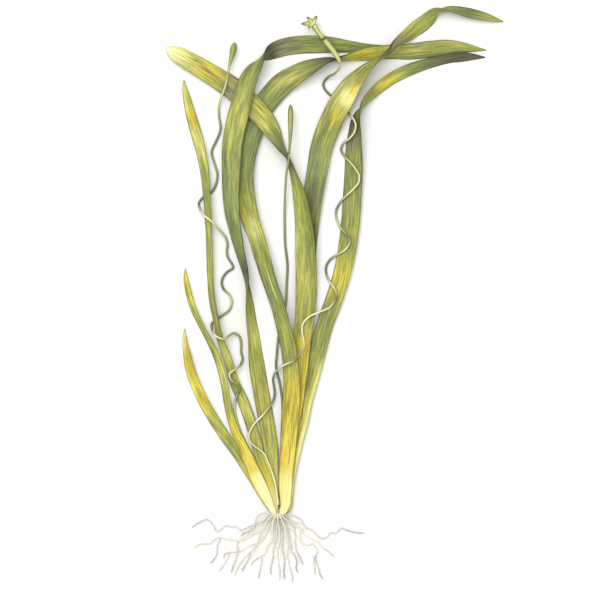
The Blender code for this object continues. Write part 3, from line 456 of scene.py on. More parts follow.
def finish_tree(tree, geometry, material):
    """Instances made real, smooth shading, the material, and out."""
    real = add(tree, "GeometryNodeRealizeInstances", {"Geometry": geometry})
    smooth = add(tree, "GeometryNodeSetShadeSmooth", {"Geometry": real})
    painted = add(tree, "GeometryNodeSetMaterial", {"Geometry": smooth, "Material": material})
    tree.links.new(painted, tree.nodes.new("NodeGroupOutput").inputs[0])
    return tree


WAVE_STRAY, WAVE_LAG = 1.5, 0.3       # in waves: how uneven they are, and one margin behind the other


def swept_body():
    """Closed body swept along a guide: a lens across a leaf, a circle across a stem. It keeps
    across, along, run and rim on every point for the finishes."""
    tree, given = new_tree("swept_body", {
        "Around": "Int", "Stations": "Int", "Edge roundness": "Float", "Ridges": "Float",
        "Ridge height": "Float", "Wave height": "Float", "Wave length": "Float",
        "Unevenness": "Float", "Lump length": "Float", "Seed": "Float", "Material": "Material",
    })
    last = add(tree, "ShaderNodeMath", {0: given["Stations"], 1: 1.0}, operation="SUBTRACT")
    tube = add(tree, "GeometryNodeMeshCylinder", {
        "Vertices": given["Around"], "Side Segments": last, "Radius": 1.0, "Depth": 1.0,
    }, fill_type="NGON")
    place = add(tree, "GeometryNodeInputPosition")
    split = add(tree, "ShaderNodeSeparateXYZ", {0: place}).node.outputs
    level = add(tree, "ShaderNodeMath", {0: split["Z"], 1: 0.5}, operation="ADD")
    station = add(tree, "ShaderNodeMath", {0: level, 1: last}, operation="MULTIPLY")
    station = add(tree, "ShaderNodeMath", {0: station}, operation="ROUND")
    across = add(tree, "ShaderNodeMath", {0: split["X"], 1: -1.0}, operation="MULTIPLY")
    facing = split["Y"]

    read = {}
    for name, kind in (
        ("position", "FLOAT_VECTOR"), ("side", "FLOAT_VECTOR"), ("face", "FLOAT_VECTOR"),
        ("half", "FLOAT"), ("cup", "FLOAT"), ("thick", "FLOAT"), ("run", "FLOAT"), ("share", "FLOAT"),
    ):
        if name == "position":
            value = add(tree, "GeometryNodeInputPosition")
        else:
            value = add(tree, "GeometryNodeInputNamedAttribute", {"Name": name}, data_type=kind)
        read[name] = add(tree, "GeometryNodeSampleIndex", {
            "Geometry": given["Geometry"], "Value": value, "Index": station,
        }, data_type=kind, domain="POINT")

    # Lumps along it, which change its size a little
    lumps = add(tree, "ShaderNodeMath", {0: read["run"], 1: given["Lump length"]}, operation="DIVIDE")
    spot = add(tree, "ShaderNodeCombineXYZ", {"X": across, "Y": lumps, "Z": given["Seed"]})
    rough = add(tree, "ShaderNodeTexNoise", {"Vector": spot, "Scale": 1.0, "Detail": 2.0})
    rough = add(tree, "ShaderNodeMath", {0: rough, 1: 0.5}, operation="SUBTRACT")
    swell = add(tree, "ShaderNodeMath", {
        0: rough, 1: given["Unevenness"], 2: 1.0,
    }, operation="MULTIPLY_ADD")
    half = add(tree, "ShaderNodeMath", {0: read["half"], 1: swell}, operation="MULTIPLY")
    thick = add(tree, "ShaderNodeMath", {0: read["thick"], 1: swell}, operation="MULTIPLY")

    # The section, then the rise of its edges, then fine ridges on both its faces
    which = add(tree, "ShaderNodeMath", {0: facing}, operation="SIGN")
    depth = add(tree, "ShaderNodeMath", {0: facing}, operation="ABSOLUTE")
    for kind, by in (("POWER", given["Edge roundness"]), ("MULTIPLY", which), ("MULTIPLY", thick)):
        depth = add(tree, "ShaderNodeMath", {0: depth, 1: by}, operation=kind)
    square = add(tree, "ShaderNodeMath", {0: across, 1: across}, operation="MULTIPLY")
    ridge = across
    for kind, by in (
        ("MULTIPLY", given["Ridges"]), ("MULTIPLY", pi), ("COSINE", 0.0), ("MULTIPLY", facing),
    ):
        ridge = add(tree, "ShaderNodeMath", {0: ridge, 1: by}, operation=kind)

    # The margins ripple upwards, each side in its own time
    wave = add(tree, "ShaderNodeMath", {0: read["run"], 1: given["Wave length"]}, operation="DIVIDE")
    for strayed, by in ((rough, WAVE_STRAY), (across, WAVE_LAG)):
        wave = add(tree, "ShaderNodeMath", {0: strayed, 1: by, 2: wave}, operation="MULTIPLY_ADD")
    for kind, by in (("MULTIPLY", 2.0 * pi), ("SINE", 0.0), ("ADD", 1.0), ("MULTIPLY", square)):
        wave = add(tree, "ShaderNodeMath", {0: wave, 1: by}, operation=kind)

    out = depth
    for amount, height in (
        (square, read["cup"]), (ridge, given["Ridge height"]), (wave, given["Wave height"]),
    ):
        out = add(tree, "ShaderNodeMath", {0: amount, 1: height, 2: out}, operation="MULTIPLY_ADD")

    target = read["position"]
    beside = add(tree, "ShaderNodeMath", {0: across, 1: half}, operation="MULTIPLY")
    for way, far in ((read["side"], beside), (read["face"], out)):
        shift = add(tree, "ShaderNodeVectorMath", {0: way, "Scale": far}, operation="SCALE")
        target = add(tree, "ShaderNodeVectorMath", {0: target, 1: shift}, operation="ADD")

    # How far each point is from the margin, in millimetres
    rim = add(tree, "ShaderNodeMath", {0: across}, operation="ABSOLUTE")
    rim = add(tree, "ShaderNodeMath", {0: 1.0, 1: rim}, operation="SUBTRACT")
    for by in (read["half"], 1.0 / MM):
        rim = add(tree, "ShaderNodeMath", {0: rim, 1: by}, operation="MULTIPLY")

    body = tube
    for name, value in (
        ("across", across), ("along", read["share"]), ("run", read["run"]), ("rim", rim),
    ):
        body = add(tree, "GeometryNodeStoreNamedAttribute", {
            "Geometry": body, "Name": name, "Value": value,
        }, data_type="FLOAT", domain="POINT")
    body = add(tree, "GeometryNodeSetPosition", {"Geometry": body, "Position": target})
    return finish_tree(tree, body, given["Material"])


def grow(name, tree, guide, sizes):
    """A plain mesh piece from a guide and a tree with its named sizes set."""
    host = bpy.data.objects.new("host", guide)
    bpy.context.scene.collection.objects.link(host)
    modifier = host.modifiers.new("grow", "NODES")
    modifier.node_group = tree
    for socket in tree.interface.items_tree:
        if socket.in_out == "INPUT" and socket.name in sizes:
            modifier[socket.identifier] = sizes[socket.name]
    seen = host.evaluated_get(bpy.context.evaluated_depsgraph_get())
    mesh = bpy.data.meshes.new_from_object(seen)
    bpy.data.objects.remove(host)
    mesh.name = name
    piece = bpy.data.objects.new(name, mesh)
    bpy.context.scene.collection.objects.link(piece)
    return piece


def new_material(name, roughness, ior):
    """A material with its shader, and the tree to build its colours in."""
    material = bpy.data.materials.new(name)
    material.use_nodes = True
    shader = material.node_tree.nodes["Principled BSDF"]
    shader.inputs["Roughness"].default_value = roughness
    shader.inputs["IOR"].default_value = ior
    return material, material.node_tree, shader


VEINS = 9.0                           # fine ridges across a blade
VEIN_HEIGHT = 0.035                   # in millimetres
RIPPLE_HEIGHT, RIPPLE_LENGTH = 0.12, 34.0      # of the margins
STREAKS = (                           # width and length in mm, and the tints they lay over it
    (2.0, 44.0, [(0.0, "#b0b3b0"), (0.5, "#bcbcbc"), (1.0, "#c9c7b9")]),
    (0.7, 22.0, [(0.0, "#a5a8a5"), (0.5, "#bcbcbc"), (1.0, "#d1d0c4")]),
    (0.35, 9.0, [(0.0, "#a6a9a8"), (0.5, "#bcbcbc"), (1.0, "#d1d1cb")]),
)
SIDE_SHADE_AND_LIGHT = [(0.0, "#7c7c6e"), (0.5, "#bcbcbc"), (1.0, "#f0f0dc")]     # painted shade, as it is, painted light
GRIT_TONES = [(0.3, "#adaeae"), (0.7, "#cacac8")]
RIM_TONE, RIM_DEPTH = "#a39e7c", 0.8
WASH_DRIFT = 0.01                     # how far the wash strays along a streak, share of the leaf
MARK_FRAY, SIDE_SHADE_FRAY = 0.22, 0.16     # how ragged the edges of the marks and of the sides' painted shade and light are
GRIT = 0.5                            # the mottling between the streaks, in millimetres
RELIEF = 0.03                         # how deep veins and streaks lie, in millimetres
LEAF_LUMPS, LUMP_LENGTH = 0.05, 22.0  # how uneven a blade is, and over what length
RIM_WIDTH = 0.75                      # the dark line along a margin, in millimetres


def leaf_tissue(name, look, length, half, seed):
    """Living leaf blade, soft and slightly waxy: it looks satin, with long streaks between its
    veins, a thin dark margin, patches where the green has gone from it, and painted shade and
    painted light that make one side of the blade darker or paler in places."""
    material, tree, shader = new_material("leaf_tissue_" + name, 0.6, 1.38)
    across, along, run, rim = [
        add(tree, "ShaderNodeAttribute", out="Fac", attribute_name=kept)
        for kept in ("across", "along", "run", "rim")
    ]

    spot = add(tree, "ShaderNodeCombineXYZ", {"X": across, "Y": run, "Z": seed})
    streaks = []
    for width, reach, tints in STREAKS:
        thin = add(tree, "ShaderNodeVectorMath", {
            0: spot, 1: (half / width / 2, 1.0 / reach, 1.0 + width),
        }, operation="MULTIPLY")
        streak = add(tree, "ShaderNodeTexNoise", {"Vector": thin, "Scale": 1.0, "Detail": 1.0})
        streaks.append(add(tree, "ShaderNodeMapRange", {
            "Value": streak, "From Min": 0.34, "From Max": 0.66,
        }))
    broad, middling, fine = streaks
    wander = add(tree, "ShaderNodeMath", {0: broad, 1: middling}, operation="ADD")
    wander = add(tree, "ShaderNodeMath", {0: wander, 1: 1.0}, operation="SUBTRACT")

    # The wash runs on further along some streaks than along others
    place = add(tree, "ShaderNodeMath", {0: wander, 1: WASH_DRIFT, 2: along}, operation="MULTIPLY_ADD")
    wash = [(share, TINTS[tint]) for share, tint in look["wash"]]
    colour = add(tree, "ShaderNodeValToRGB", {"Fac": place}, stops=wash)

    for share, middle, reach, width, tint, strength in look["marks"]:
        near = add(tree, "ShaderNodeCombineXYZ", {"X": run, "Y": across})
        near = add(tree, "ShaderNodeVectorMath", {
            0: near, 1: (1.0 / reach, 1.0 / width, 0.0),
            2: (-share * length / reach, -middle / width, 0.0),
        }, operation="MULTIPLY_ADD")
        near = add(tree, "ShaderNodeVectorMath", {0: near}, out="Value", operation="LENGTH")
        near = add(tree, "ShaderNodeMath", {0: wander, 1: MARK_FRAY, 2: near}, operation="MULTIPLY_ADD")
        near = add(tree, "ShaderNodeMapRange", {
            "Value": near, "From Min": 1.2, "From Max": 0.3, "To Min": 0.0, "To Max": strength,
        }, interpolation_type="SMOOTHSTEP")
        colour = add(tree, "ShaderNodeMix", {
            "Factor": near, 6: colour, 7: linear(TINTS[tint]),
        }, out=2, data_type="RGBA")

    # Painted shade and painted light: one half of the blade darker or paler than its middle, in streaks
    frayed = add(tree, "ShaderNodeMath", {
        0: wander, 1: SIDE_SHADE_FRAY, 2: across,
    }, operation="MULTIPLY_ADD")
    for side, edge in (("left", -1.0), ("right", 1.0)):
        levels = [(share, 0.5 + level / 2) for share, level in look[side]]
        tone = add(tree, "ShaderNodeValToRGB", {"Fac": along}, stops=levels)
        tone = add(tree, "ShaderNodeValToRGB", {"Fac": tone}, stops=SIDE_SHADE_AND_LIGHT)
        reach = add(tree, "ShaderNodeMapRange", {
            "Value": frayed, "From Min": 0.1 * edge, "From Max": edge,
        })
        colour = add(tree, "ShaderNodeMix", {
            "Factor": reach, 6: colour, 7: tone,
        }, out=2, data_type="RGBA", blend_type="OVERLAY")

    # Streaks darker and paler than the wash, and a fine mottling between them
    grit = add(tree, "ShaderNodeTexCoord", out="Object")
    grit = add(tree, "ShaderNodeTexNoise", {"Vector": grit, "Scale": 1.0 / (GRIT * MM), "Detail": 1.0})
    tones = [kind[2] for kind in STREAKS] + [GRIT_TONES]
    for pattern, stops in zip([*streaks, grit], tones):
        layer = add(tree, "ShaderNodeValToRGB", {"Fac": pattern}, stops=stops)
        colour = add(tree, "ShaderNodeMix", {
            "Factor": 1.0, 6: colour, 7: layer,
        }, out=2, data_type="RGBA", blend_type="OVERLAY")

    margin = add(tree, "ShaderNodeMapRange", {
        "Value": rim, "From Min": RIM_WIDTH, "From Max": RIM_WIDTH / 4, "To Min": 0.0, "To Max": RIM_DEPTH,
    }, interpolation_type="SMOOTHSTEP")
    colour = add(tree, "ShaderNodeMix", {
        "Factor": margin, 6: colour, 7: linear(RIM_TONE),
    }, out=2, data_type="RGBA", blend_type="MULTIPLY")
    tree.links.new(colour, shader.inputs["Base Color"])

    gloss = add(tree, "ShaderNodeMapRange", {"Value": fine, "To Min": 0.52, "To Max": 0.7})
    tree.links.new(gloss, shader.inputs["Roughness"])
    vein = add(tree, "ShaderNodeMath", {0: across, 1: VEINS * pi}, operation="MULTIPLY")
    vein = add(tree, "ShaderNodeMath", {0: vein}, operation="COSINE")
    relief = add(tree, "ShaderNodeMath", {0: fine, 1: 0.5, 2: vein}, operation="MULTIPLY_ADD")
    relief = add(tree, "ShaderNodeBump", {"Height": relief, "Strength": 0.4, "Distance": RELIEF * MM})
    tree.links.new(relief, shader.inputs["Normal"])
    return material


sweep = swept_body()
for seed, (name, look) in enumerate(LEAVES.items()):
    guide = leaf_guide(look["rows"], look["hand"])
    length = guide.attributes["run"].data[-1].value
    half = max(row[2] for row in look["rows"]) / 2
    leaf = grow(name + "_leaf", sweep, guide, {
        "Around": LEAF_AROUND, "Stations": LEAF_STATIONS, "Edge roundness": LEAF_EDGE,
        "Ridges": VEINS, "Ridge height": VEIN_HEIGHT * MM,
        "Wave height": RIPPLE_HEIGHT * MM, "Wave length": RIPPLE_LENGTH,
        "Unevenness": LEAF_LUMPS, "Lump length": LUMP_LENGTH, "Seed": 3.7 * seed,
        "Material": leaf_tissue(name, look, length, half, 5.3 * seed),
    })
    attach(leaf, "root")
    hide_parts("leaf_" + name)

# Flower stalks
# Three thin round stalks of smooth green tissue: two wind loosely upwards among the leaves and
# one runs almost straight. They grow from the crown, between the leaf sheaths.

STALK_RADIUS = 0.8
STALK_SIDE_SHADE = "#8f9070"                     # painted shade: the tint that darkens a stalk down its sides, away from its top
STEM_LUMP_LENGTH = 4.0
STEM_STEP = 0.7     # between the stations along a round piece
STEM_SPARE = 12                            # stations that the shortest piece has at the least
STEM_BLUNT = 0.02                          # how blunt its end is
STALK_TINTS = {
    "dark": "#717a58", "mid": "#9aa26a", "pale": "#d3d693", "cream": "#eceab9", "brown": "#8a7a58",
}
STALKS = {
    # name: (rows: right of the crown, above it, height of the underside; wash as on the leaves)
    "coiled_left": (
        [
            (-34.2, 308.6, 3.9), (-34.9, 304, 4.2), (-37, 296, 4.4), (-38.2, 292.8, 3.8),
            (-39.6, 289.2, 2.6), (-41, 284.6, 1.1), (-41, 279, 0.1), (-40, 268, 0), (-42.5, 261, 0),
            (-46, 252.5, 0), (-44, 244.5, 0), (-42, 237, 0), (-43, 230, 0), (-46, 224.5, 0),
            (-49.5, 222, 0), (-53, 220, 0), (-55, 216.5, 0.7), (-54, 212.5, 2.5), (-51, 208, 5.3),
            (-46.5, 204.5, 6.8), (-40.5, 198, 3.5), (-37, 194, 1.3), (-35, 188.5, 0.1), (-35.5, 183, 0),
            (-34.5, 178.5, 0), (-32, 174.5, 0), (-31, 172, 0), (-35.5, 168.5, 0), (-38.5, 164, 0),
            (-39, 160.5, 0), (-37.5, 156.5, 0), (-33.5, 152.5, 0), (-32, 148.5, 0), (-33.5, 142.5, 0),
            (-39, 138, 0), (-43, 135, 0), (-46, 132.5, 0.1), (-46, 130, 0.9), (-44.5, 125.5, 3.7),
            (-41, 123, 6.1), (-37, 122, 5.8), (-34, 124, 3.3), (-30.5, 126, 1.5), (-27, 124, 0.3),
            (-25.5, 119, 0), (-25.5, 113, 0), (-24.5, 107.5, 0.5), (-26.5, 103, 2.1), (-30, 100.5, 3.3),
            (-33.5, 97.5, 2.7), (-32.5, 93.5, 2.3), (-28.5, 90.5, 2.1), (-26.5, 87, 1.7),
            (-28, 83.5, 1.4), (-29.8, 78.5, 1), (-29.8, 72, 0), (-28.5, 65, 0), (-26, 57.5, 0),
            (-22.5, 49.5, 0), (-18.5, 42.5, 0.1), (-14.5, 35, 0.4), (-10.5, 26.5, 0.7), (-7.5, 18, 0.8),
            (-5.5, 11, 0.8),
        ],
        [
            (0, "mid"), (0.03, "pale"), (0.06, "pale"), (0.09, "mid"), (0.14, "dark"), (0.19, "mid"),
            (0.23, "dark"), (0.28, "dark"), (0.31, "cream"), (0.335, "pale"), (0.38, "mid"),
            (0.44, "dark"), (0.48, "dark"), (0.5, "pale"), (0.53, "mid"), (0.56, "dark"), (0.58, "dark"),
            (0.6, "cream"), (0.63, "mid"), (0.68, "mid"), (0.71, "dark"), (0.735, "cream"), (0.76, "mid"),
            (0.78, "dark"), (0.81, "pale"), (0.87, "mid"), (0.92, "pale"), (1, "cream"),
        ],
    ),
    "straight": (
        [
            (8, 249, 11.6), (7.5, 244.5, 11.4), (6.5, 238.5, 9.6), (5.5, 225.5, 4.9), (5, 214, 1.5),
            (5, 201.5, 0), (5.5, 187, 0), (7, 174, 0), (6.5, 160.5, 0), (6, 147.5, 0), (3, 133.5, 0),
            (0.5, 122, 0), (-0.5, 111, 0), (-1, 102, 0), (1, 93, 0), (3, 81, 0), (3.5, 72, 0),
            (3.5, 58, 0.3), (2.5, 44, 0.8), (2.5, 30, 1.1), (2, 16, 1.2), (2, 5.5, 1.2),
        ],
        [
            (0, "mid"), (0.15, "mid"), (0.3, "dark"), (0.45, "mid"), (0.6, "dark"), (0.75, "mid"),
            (0.88, "dark"), (0.95, "mid"), (1, "cream"),
        ],
    ),
    "coiled_right": (
        [
            (43.6, 312.6, 10.4), (43, 310, 8.3), (40, 307, 4.7), (35.5, 305, 1.7), (33, 302.5, 0.3),
            (32, 299.5, 0), (33.5, 296, 0), (37.5, 292, 0), (44, 286, 0), (50, 279.5, 0.9),
            (53.5, 274.5, 3.4), (54.6, 270.5, 6), (53.8, 266.5, 5.4), (50, 261.5, 2.6), (46, 258.5, 0.3),
            (44.5, 254.5, 0), (46.5, 250, 0.5), (50, 246, 2.1), (54.5, 240.5, 3.1), (57, 235.5, 3.6),
            (56.5, 231, 3.4), (52.5, 226, 2.1), (47, 221, 1.3), (43, 216, 0.1), (41, 211, 0),
            (41.5, 205.5, 0), (44.5, 199, 1), (48.5, 194.5, 1.9), (50.5, 190, 2.1), (48, 185, 1.7),
            (42.5, 181, 0.9), (37, 177.5, 0), (34, 172, 0), (34.5, 166, 0.2), (36.5, 162, 0.7),
            (39, 158.5, 1.3), (41, 154.5, 1.7), (40.5, 149.5, 1.9), (37, 144.5, 2.2), (28.5, 140.5, 3.9),
            (21.5, 137, 4.3), (17.5, 132, 4.3), (17, 127.5, 4.3), (18, 122, 4.3), (18.5, 117, 6.1),
            (15.5, 111.5, 8.4), (11.5, 107, 7.6), (6, 104.5, 6.2), (2, 102, 4.1), (-1.5, 98.5, 2.1),
            (-3, 94.5, 1.7), (-2.5, 89, 1.1), (-2, 83.5, 0.9), (-3.5, 77.5, 1.3), (-6, 74, 1.7),
            (-10.5, 68.5, 1.9), (-15, 64, 1.9), (-18.5, 59, 2.1), (-20, 53.5, 2.3), (-18, 49, 2.4),
            (-13.5, 45.5, 2.9), (-9, 41.5, 3.1), (-6.5, 36, 3.3), (-4, 29.5, 3.5), (-2, 23, 3.9),
            (-0.5, 14.5, 4.3), (0.5, 6, 4.5),
        ],
        [
            (0, "pale"), (0.02, "mid"), (0.04, "dark"), (0.08, "dark"), (0.12, "brown"), (0.145, "cream"),
            (0.175, "cream"), (0.21, "dark"), (0.24, "pale"), (0.3, "cream"), (0.34, "dark"),
            (0.37, "pale"), (0.4, "brown"), (0.425, "cream"), (0.46, "dark"), (0.485, "dark"),
            (0.51, "cream"), (0.535, "brown"), (0.56, "cream"), (0.64, "cream"), (0.68, "brown"),
            (0.705, "cream"), (0.74, "dark"), (0.78, "dark"), (0.82, "cream"), (0.88, "pale"),
            (0.95, "cream"), (1, "cream"),
        ],
    ),
}


def stem_guide(rows, end_taper):
    """A round piece's guide. Each row: right of the crown, above it, height of the underside,
    radius. It comes to a round end over the last millimetres of its length."""
    rows = np.array(rows, float)
    length = np.linalg.norm(np.diff(rows[:, :2], axis=0), axis=1).sum()
    stations = int(length / STEM_STEP) + STEM_SPARE
    x, y, low, radius = smooth_curve(rows, np.linspace(0.0, 1.0, stations)).T
    centres = np.column_stack((x, y, np.maximum(low, 0.0) + radius))
    to_end = np.linalg.norm(centres - centres[-1], axis=1)
    radius = radius * np.sqrt(np.clip(to_end / end_taper, STEM_BLUNT, 1.0))
    course = unit(np.gradient(centres, axis=0))
    side = unit(np.cross(course, (0.0, 0.0, 1.0)))
    return guide_mesh(centres, side, np.cross(side, course), radius, np.zeros(len(x)), radius)


def stem_tissue(name, wash, edge, seed):
    """Smooth round stem, waxy and a little translucent: it looks satin, with painted shade that
    makes it darker down its sides than along its top, and it changes along its length."""
    material, tree, shader = new_material("stem_tissue_" + name, 0.45, 1.4)
    across, along, run = [
        add(tree, "ShaderNodeAttribute", out="Fac", attribute_name=kept)
        for kept in ("across", "along", "run")
    ]
    colour = add(tree, "ShaderNodeValToRGB", {"Fac": along}, stops=wash)
    spot = add(tree, "ShaderNodeCombineXYZ", {"X": across, "Y": run, "Z": seed})
    spot = add(tree, "ShaderNodeVectorMath", {0: spot, 1: (2.0, 0.12, 1.0)}, operation="MULTIPLY")
    grain = add(tree, "ShaderNodeTexNoise", {"Vector": spot, "Scale": 1.0, "Detail": 3.0})
    tone = add(tree, "ShaderNodeMapRange", {
        "Value": grain, "From Min": 0.3, "From Max": 0.7, "To Min": 0.84, "To Max": 1.12,
    })
    colour = add(tree, "ShaderNodeVectorMath", {0: colour, "Scale": tone}, operation="SCALE")
    # Painted shade: darker down the piece's sides than along its middle, towards the shade tint
    side = add(tree, "ShaderNodeMath", {0: across}, operation="ABSOLUTE")
    side = add(tree, "ShaderNodeMapRange", {
        "Value": side, "From Min": 0.35, "From Max": 1.0, "To Min": 0.0, "To Max": 0.85,
    }, interpolation_type="SMOOTHSTEP")
    colour = add(tree, "ShaderNodeMix", {
        "Factor": side, 6: colour, 7: linear(edge),
    }, out=2, data_type="RGBA", blend_type="MULTIPLY")
    tree.links.new(colour, shader.inputs["Base Color"])
    bump = add(tree, "ShaderNodeBump", {"Height": grain, "Strength": 0.4, "Distance": 0.08 * MM})
    tree.links.new(bump, shader.inputs["Normal"])
    return material


def round_piece(name, guide, around, unevenness, material):
    """A round stem, bud or root swept along its guide."""
    return grow(name, sweep, guide, {
        "Around": around, "Stations": len(guide.vertices), "Edge roundness": 1.0,
        "Ridges": 0.0, "Ridge height": 0.0, "Wave height": 0.0, "Wave length": 1.0,
        "Unevenness": unevenness, "Lump length": STEM_LUMP_LENGTH, "Seed": float(len(name)),
        "Material": material,
    })


for seed, (name, (rows, wash)) in enumerate(STALKS.items()):
    shades = [(share, STALK_TINTS[tint]) for share, tint in wash]
    thick_rows = [(*row, STALK_RADIUS) for row in rows]
    stalk = round_piece(
        name + "_stalk", stem_guide(thick_rows, end_taper=0.1), around=16, unevenness=0.12,
        material=stem_tissue(name, shades, STALK_SIDE_SHADE, 2.0 * seed),
    )
    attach(stalk, "root")
    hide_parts("stalk_" + name)

# Buds and the flower's sheath
# Closed buds end two of the stalks. On the third a tubular green sheath, brown along one side,
# holds the flower's neck. All are thicker continuations of the stalk's own tissue, with painted
# shade that darkens them towards brown down their sides.

BUDS = {
    # name: (the node it stands for, rows as on the stalks with the radius last, wash)
    "left_bud": (
        "bud_left",
        [
            (-34.1, 309.4, 3.8, 0.8), (-33.4, 313.2, 3, 1), (-31.9, 319.2, 1.8, 1.7),
            (-30.7, 324.5, 1, 2.2), (-30, 327.5, 1.4, 1.6), (-29.6, 329.2, 2.3, 0.4),
        ],
        [(0.0, "#b9bf78"), (0.3, "#a3ad58"), (0.75, "#98a24c"), (1.0, "#7c8044")],
    ),
    "middle_bud": (
        "bud_middle",
        [
            (8.1, 250.2, 11.5, 0.8), (8.6, 256, 10, 0.9), (9, 263.5, 7.8, 1.3), (9.2, 271.5, 6.2, 1.7),
            (9.2, 278.5, 5.2, 1.9), (9.2, 283, 5.2, 1.4), (9.2, 285.5, 6, 0.4),
        ],
        [(0.0, "#8f9658"), (0.4, "#9da251"), (0.8, "#a8ab55"), (1.0, "#7f7c4c")],
    ),
    "flower_sheath": (
        "spathe_right",
        [
            (43.5, 313.4, 10.6, 0.8), (42.9, 315, 10.5, 1.2), (41.6, 317.3, 10.2, 1.6),
            (39.3, 321.3, 7.4, 1.9), (36.2, 325.5, 5.4, 2), (32.6, 330.2, 4.4, 2.1),
        ],
        [(0.0, "#cdd08a"), (0.4, "#c3c97a"), (0.8, "#c6cb80"), (1.0, "#a9ad5c")],
    ),
}

# Painted shade: the brownish tint that darkens the buds and the sheath down their sides
BUD_SIDE_SHADE = "#8d8158"

for seed, (name, (node, rows, wash)) in enumerate(BUDS.items()):
    bud = round_piece(
        name, stem_guide(rows, end_taper=0.9), around=28, unevenness=0.1,
        material=stem_tissue(name, wash, BUD_SIDE_SHADE, 11.0 + seed),
    )
    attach(bud, "root")
    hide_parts(node)

# The open flower
# A small pale green flower with three spreading lobes and a stunted one, olive at their tips,
# on a neck that comes out of the sheath. It is one soft piece of petal tissue.

NECK = [                              # as on the buds, up to the flower's centre
    (31.8, 331.3, 4.4, 1.7), (29.4, 334.7, 3, 1.6), (27.2, 337.8, 1.7, 1.7), (26.2, 339.6, 2.6, 1.9),
    (25.2, 340.8, 4, 1.8),
]
# The neck's tints along its length, and the tint of the painted shade that darkens it down its sides
NECK_WASH, NECK_SIDE_SHADE = [(0.0, "#b9bf72"), (1.0, "#d9db9a")], "#8d8a58"
FLOWER_AT = (24.5, 341.4, 6.4)        # right of the crown, above it, height of the lobes
LOBES = [                             # direction in degrees, reach, width
    (180.0, 8.2, 3.6), (128.0, 6.6, 3.2), (62.0, 6.6, 3.2), (225.0, 4.4, 2.6),
]
LOBE_STATIONS = 26
LOBE_RISE = 0.9                       # how far a lobe arches between its foot and its tip
LOBE_HALF_THICK = 0.32
LOBE_CUP = 0.22                       # how far its edges stand up, per half width
LOBE_WASH = [
    (0.0, "#e3e2a6"), (0.35, "#cfd18a"), (0.6, "#a9aa62"), (0.8, "#747548"), (1.0, "#5f5c3c"),
]
# Painted shade: the tint that darkens each lobe towards its sides, as on the stalks
LOBE_SIDE_SHADE = "#8c8656"


def lobe_guide(direction, reach, width):
    """A lobe's guide: it rises from the flower's centre, spreads, and comes to a point."""
    x, y, height = FLOWER_AT
    share = np.linspace(0.0, 1.0, LOBE_STATIONS)
    run_x, run_y = cos(radians(direction)), sin(radians(direction))
    away = share * reach
    arch = height - LOBE_RISE + LOBE_RISE * np.sin(share * pi)
    centres = np.column_stack((x + away * run_x, y + away * run_y, arch))
    course = unit(np.gradient(centres, axis=0))
    side = unit(np.cross(course, (0.0, 0.0, 1.0)))
    half = width / 2 * np.clip(np.sin((0.25 + 0.75 * share) * pi) ** 0.8, 0.06, 1.0)
    thick = np.full(len(share), LOBE_HALF_THICK)
    return guide_mesh(centres, side, np.cross(side, course), half, LOBE_CUP * half, thick)


def joined(name, pieces):
    """Several objects as one."""
    with bpy.context.temp_override(active_object=pieces[0], selected_editable_objects=pieces):
        bpy.ops.object.join()
    pieces[0].name = pieces[0].data.name = name
    return pieces[0]


lobe_tissue = stem_tissue("flower_lobe", LOBE_WASH, LOBE_SIDE_SHADE, 21.0)
parts = [round_piece(
    "flower_neck", stem_guide(NECK, end_taper=0.9), around=24, unevenness=0.1,
    material=stem_tissue("flower_neck", NECK_WASH, NECK_SIDE_SHADE, 23.0),
)]
for direction, reach, width in LOBES:
    parts.append(grow("lobe", sweep, lobe_guide(direction, reach, width), {
        "Around": 28, "Stations": LOBE_STATIONS, "Edge roundness": 0.7, "Ridges": 3.0,
        "Ridge height": 0.05 * MM,
        "Wave height": 0.1 * MM, "Wave length": 4.0, "Unevenness": 0.1, "Lump length": 3.0,
        "Seed": direction, "Material": lobe_tissue,
    }))
flower = joined("open_flower", parts)
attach(flower, "root")
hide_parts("flower")

# The crown
# A short fleshy knob of stem, hidden in the leaf sheaths, ringed by the scars of old leaves. The
# leaves, stalks and roots all grow out of it.

CROWN_HALF = (4.6, 3.5, 2.3)          # right, above, up
CROWN_LOW, CROWN_MIDDLE = 0.2, -0.4   # height of its underside, and its centre above the crown
CROWN_SQUARE = 0.8                    # 1 for an ellipsoid, less for a boxier body
SCARS, SCAR_DEPTH = 5, 0.16           # rings round the knob
KNOB_INSET = 0.94                     # its size before the lumps, as a share of the full one
LUMPS = ((0.25, 2.3), (0.08, 9.0))    # height, and how many there are on it
BLOTCHES = [(0.3, "#a89a78"), (0.48, "#cfc8a8"), (0.7, "#e2dcc4")]
BLOTCH = 2.38                         # the length of one, in millimetres

knob = bmesh.new()
bmesh.ops.create_uvsphere(knob, u_segments=96, v_segments=64, radius=1.0)
centre = Vector((CROWN[0], CROWN[1] + CROWN_MIDDLE, CROWN_LOW + CROWN_HALF[2]))
for vert in knob.verts:
    out = vert.co.normalized()
    ring = SCAR_DEPTH * max(0.0, cos(out.y * SCARS * pi)) ** 6
    lump = sum(height * noise.noise(out * count) for height, count in LUMPS)
    square = Vector([
        copysign(abs(place) ** CROWN_SQUARE, place) * half for place, half in zip(vert.co, CROWN_HALF)
    ])
    vert.co = (centre + square * KNOB_INSET + out * (lump - ring)) * MM
mesh = bpy.data.meshes.new("crown_knob")
knob.to_mesh(mesh)
knob.free()
mesh.shade_smooth()
crown = bpy.data.objects.new("crown_knob", mesh)
bpy.context.scene.collection.objects.link(crown)

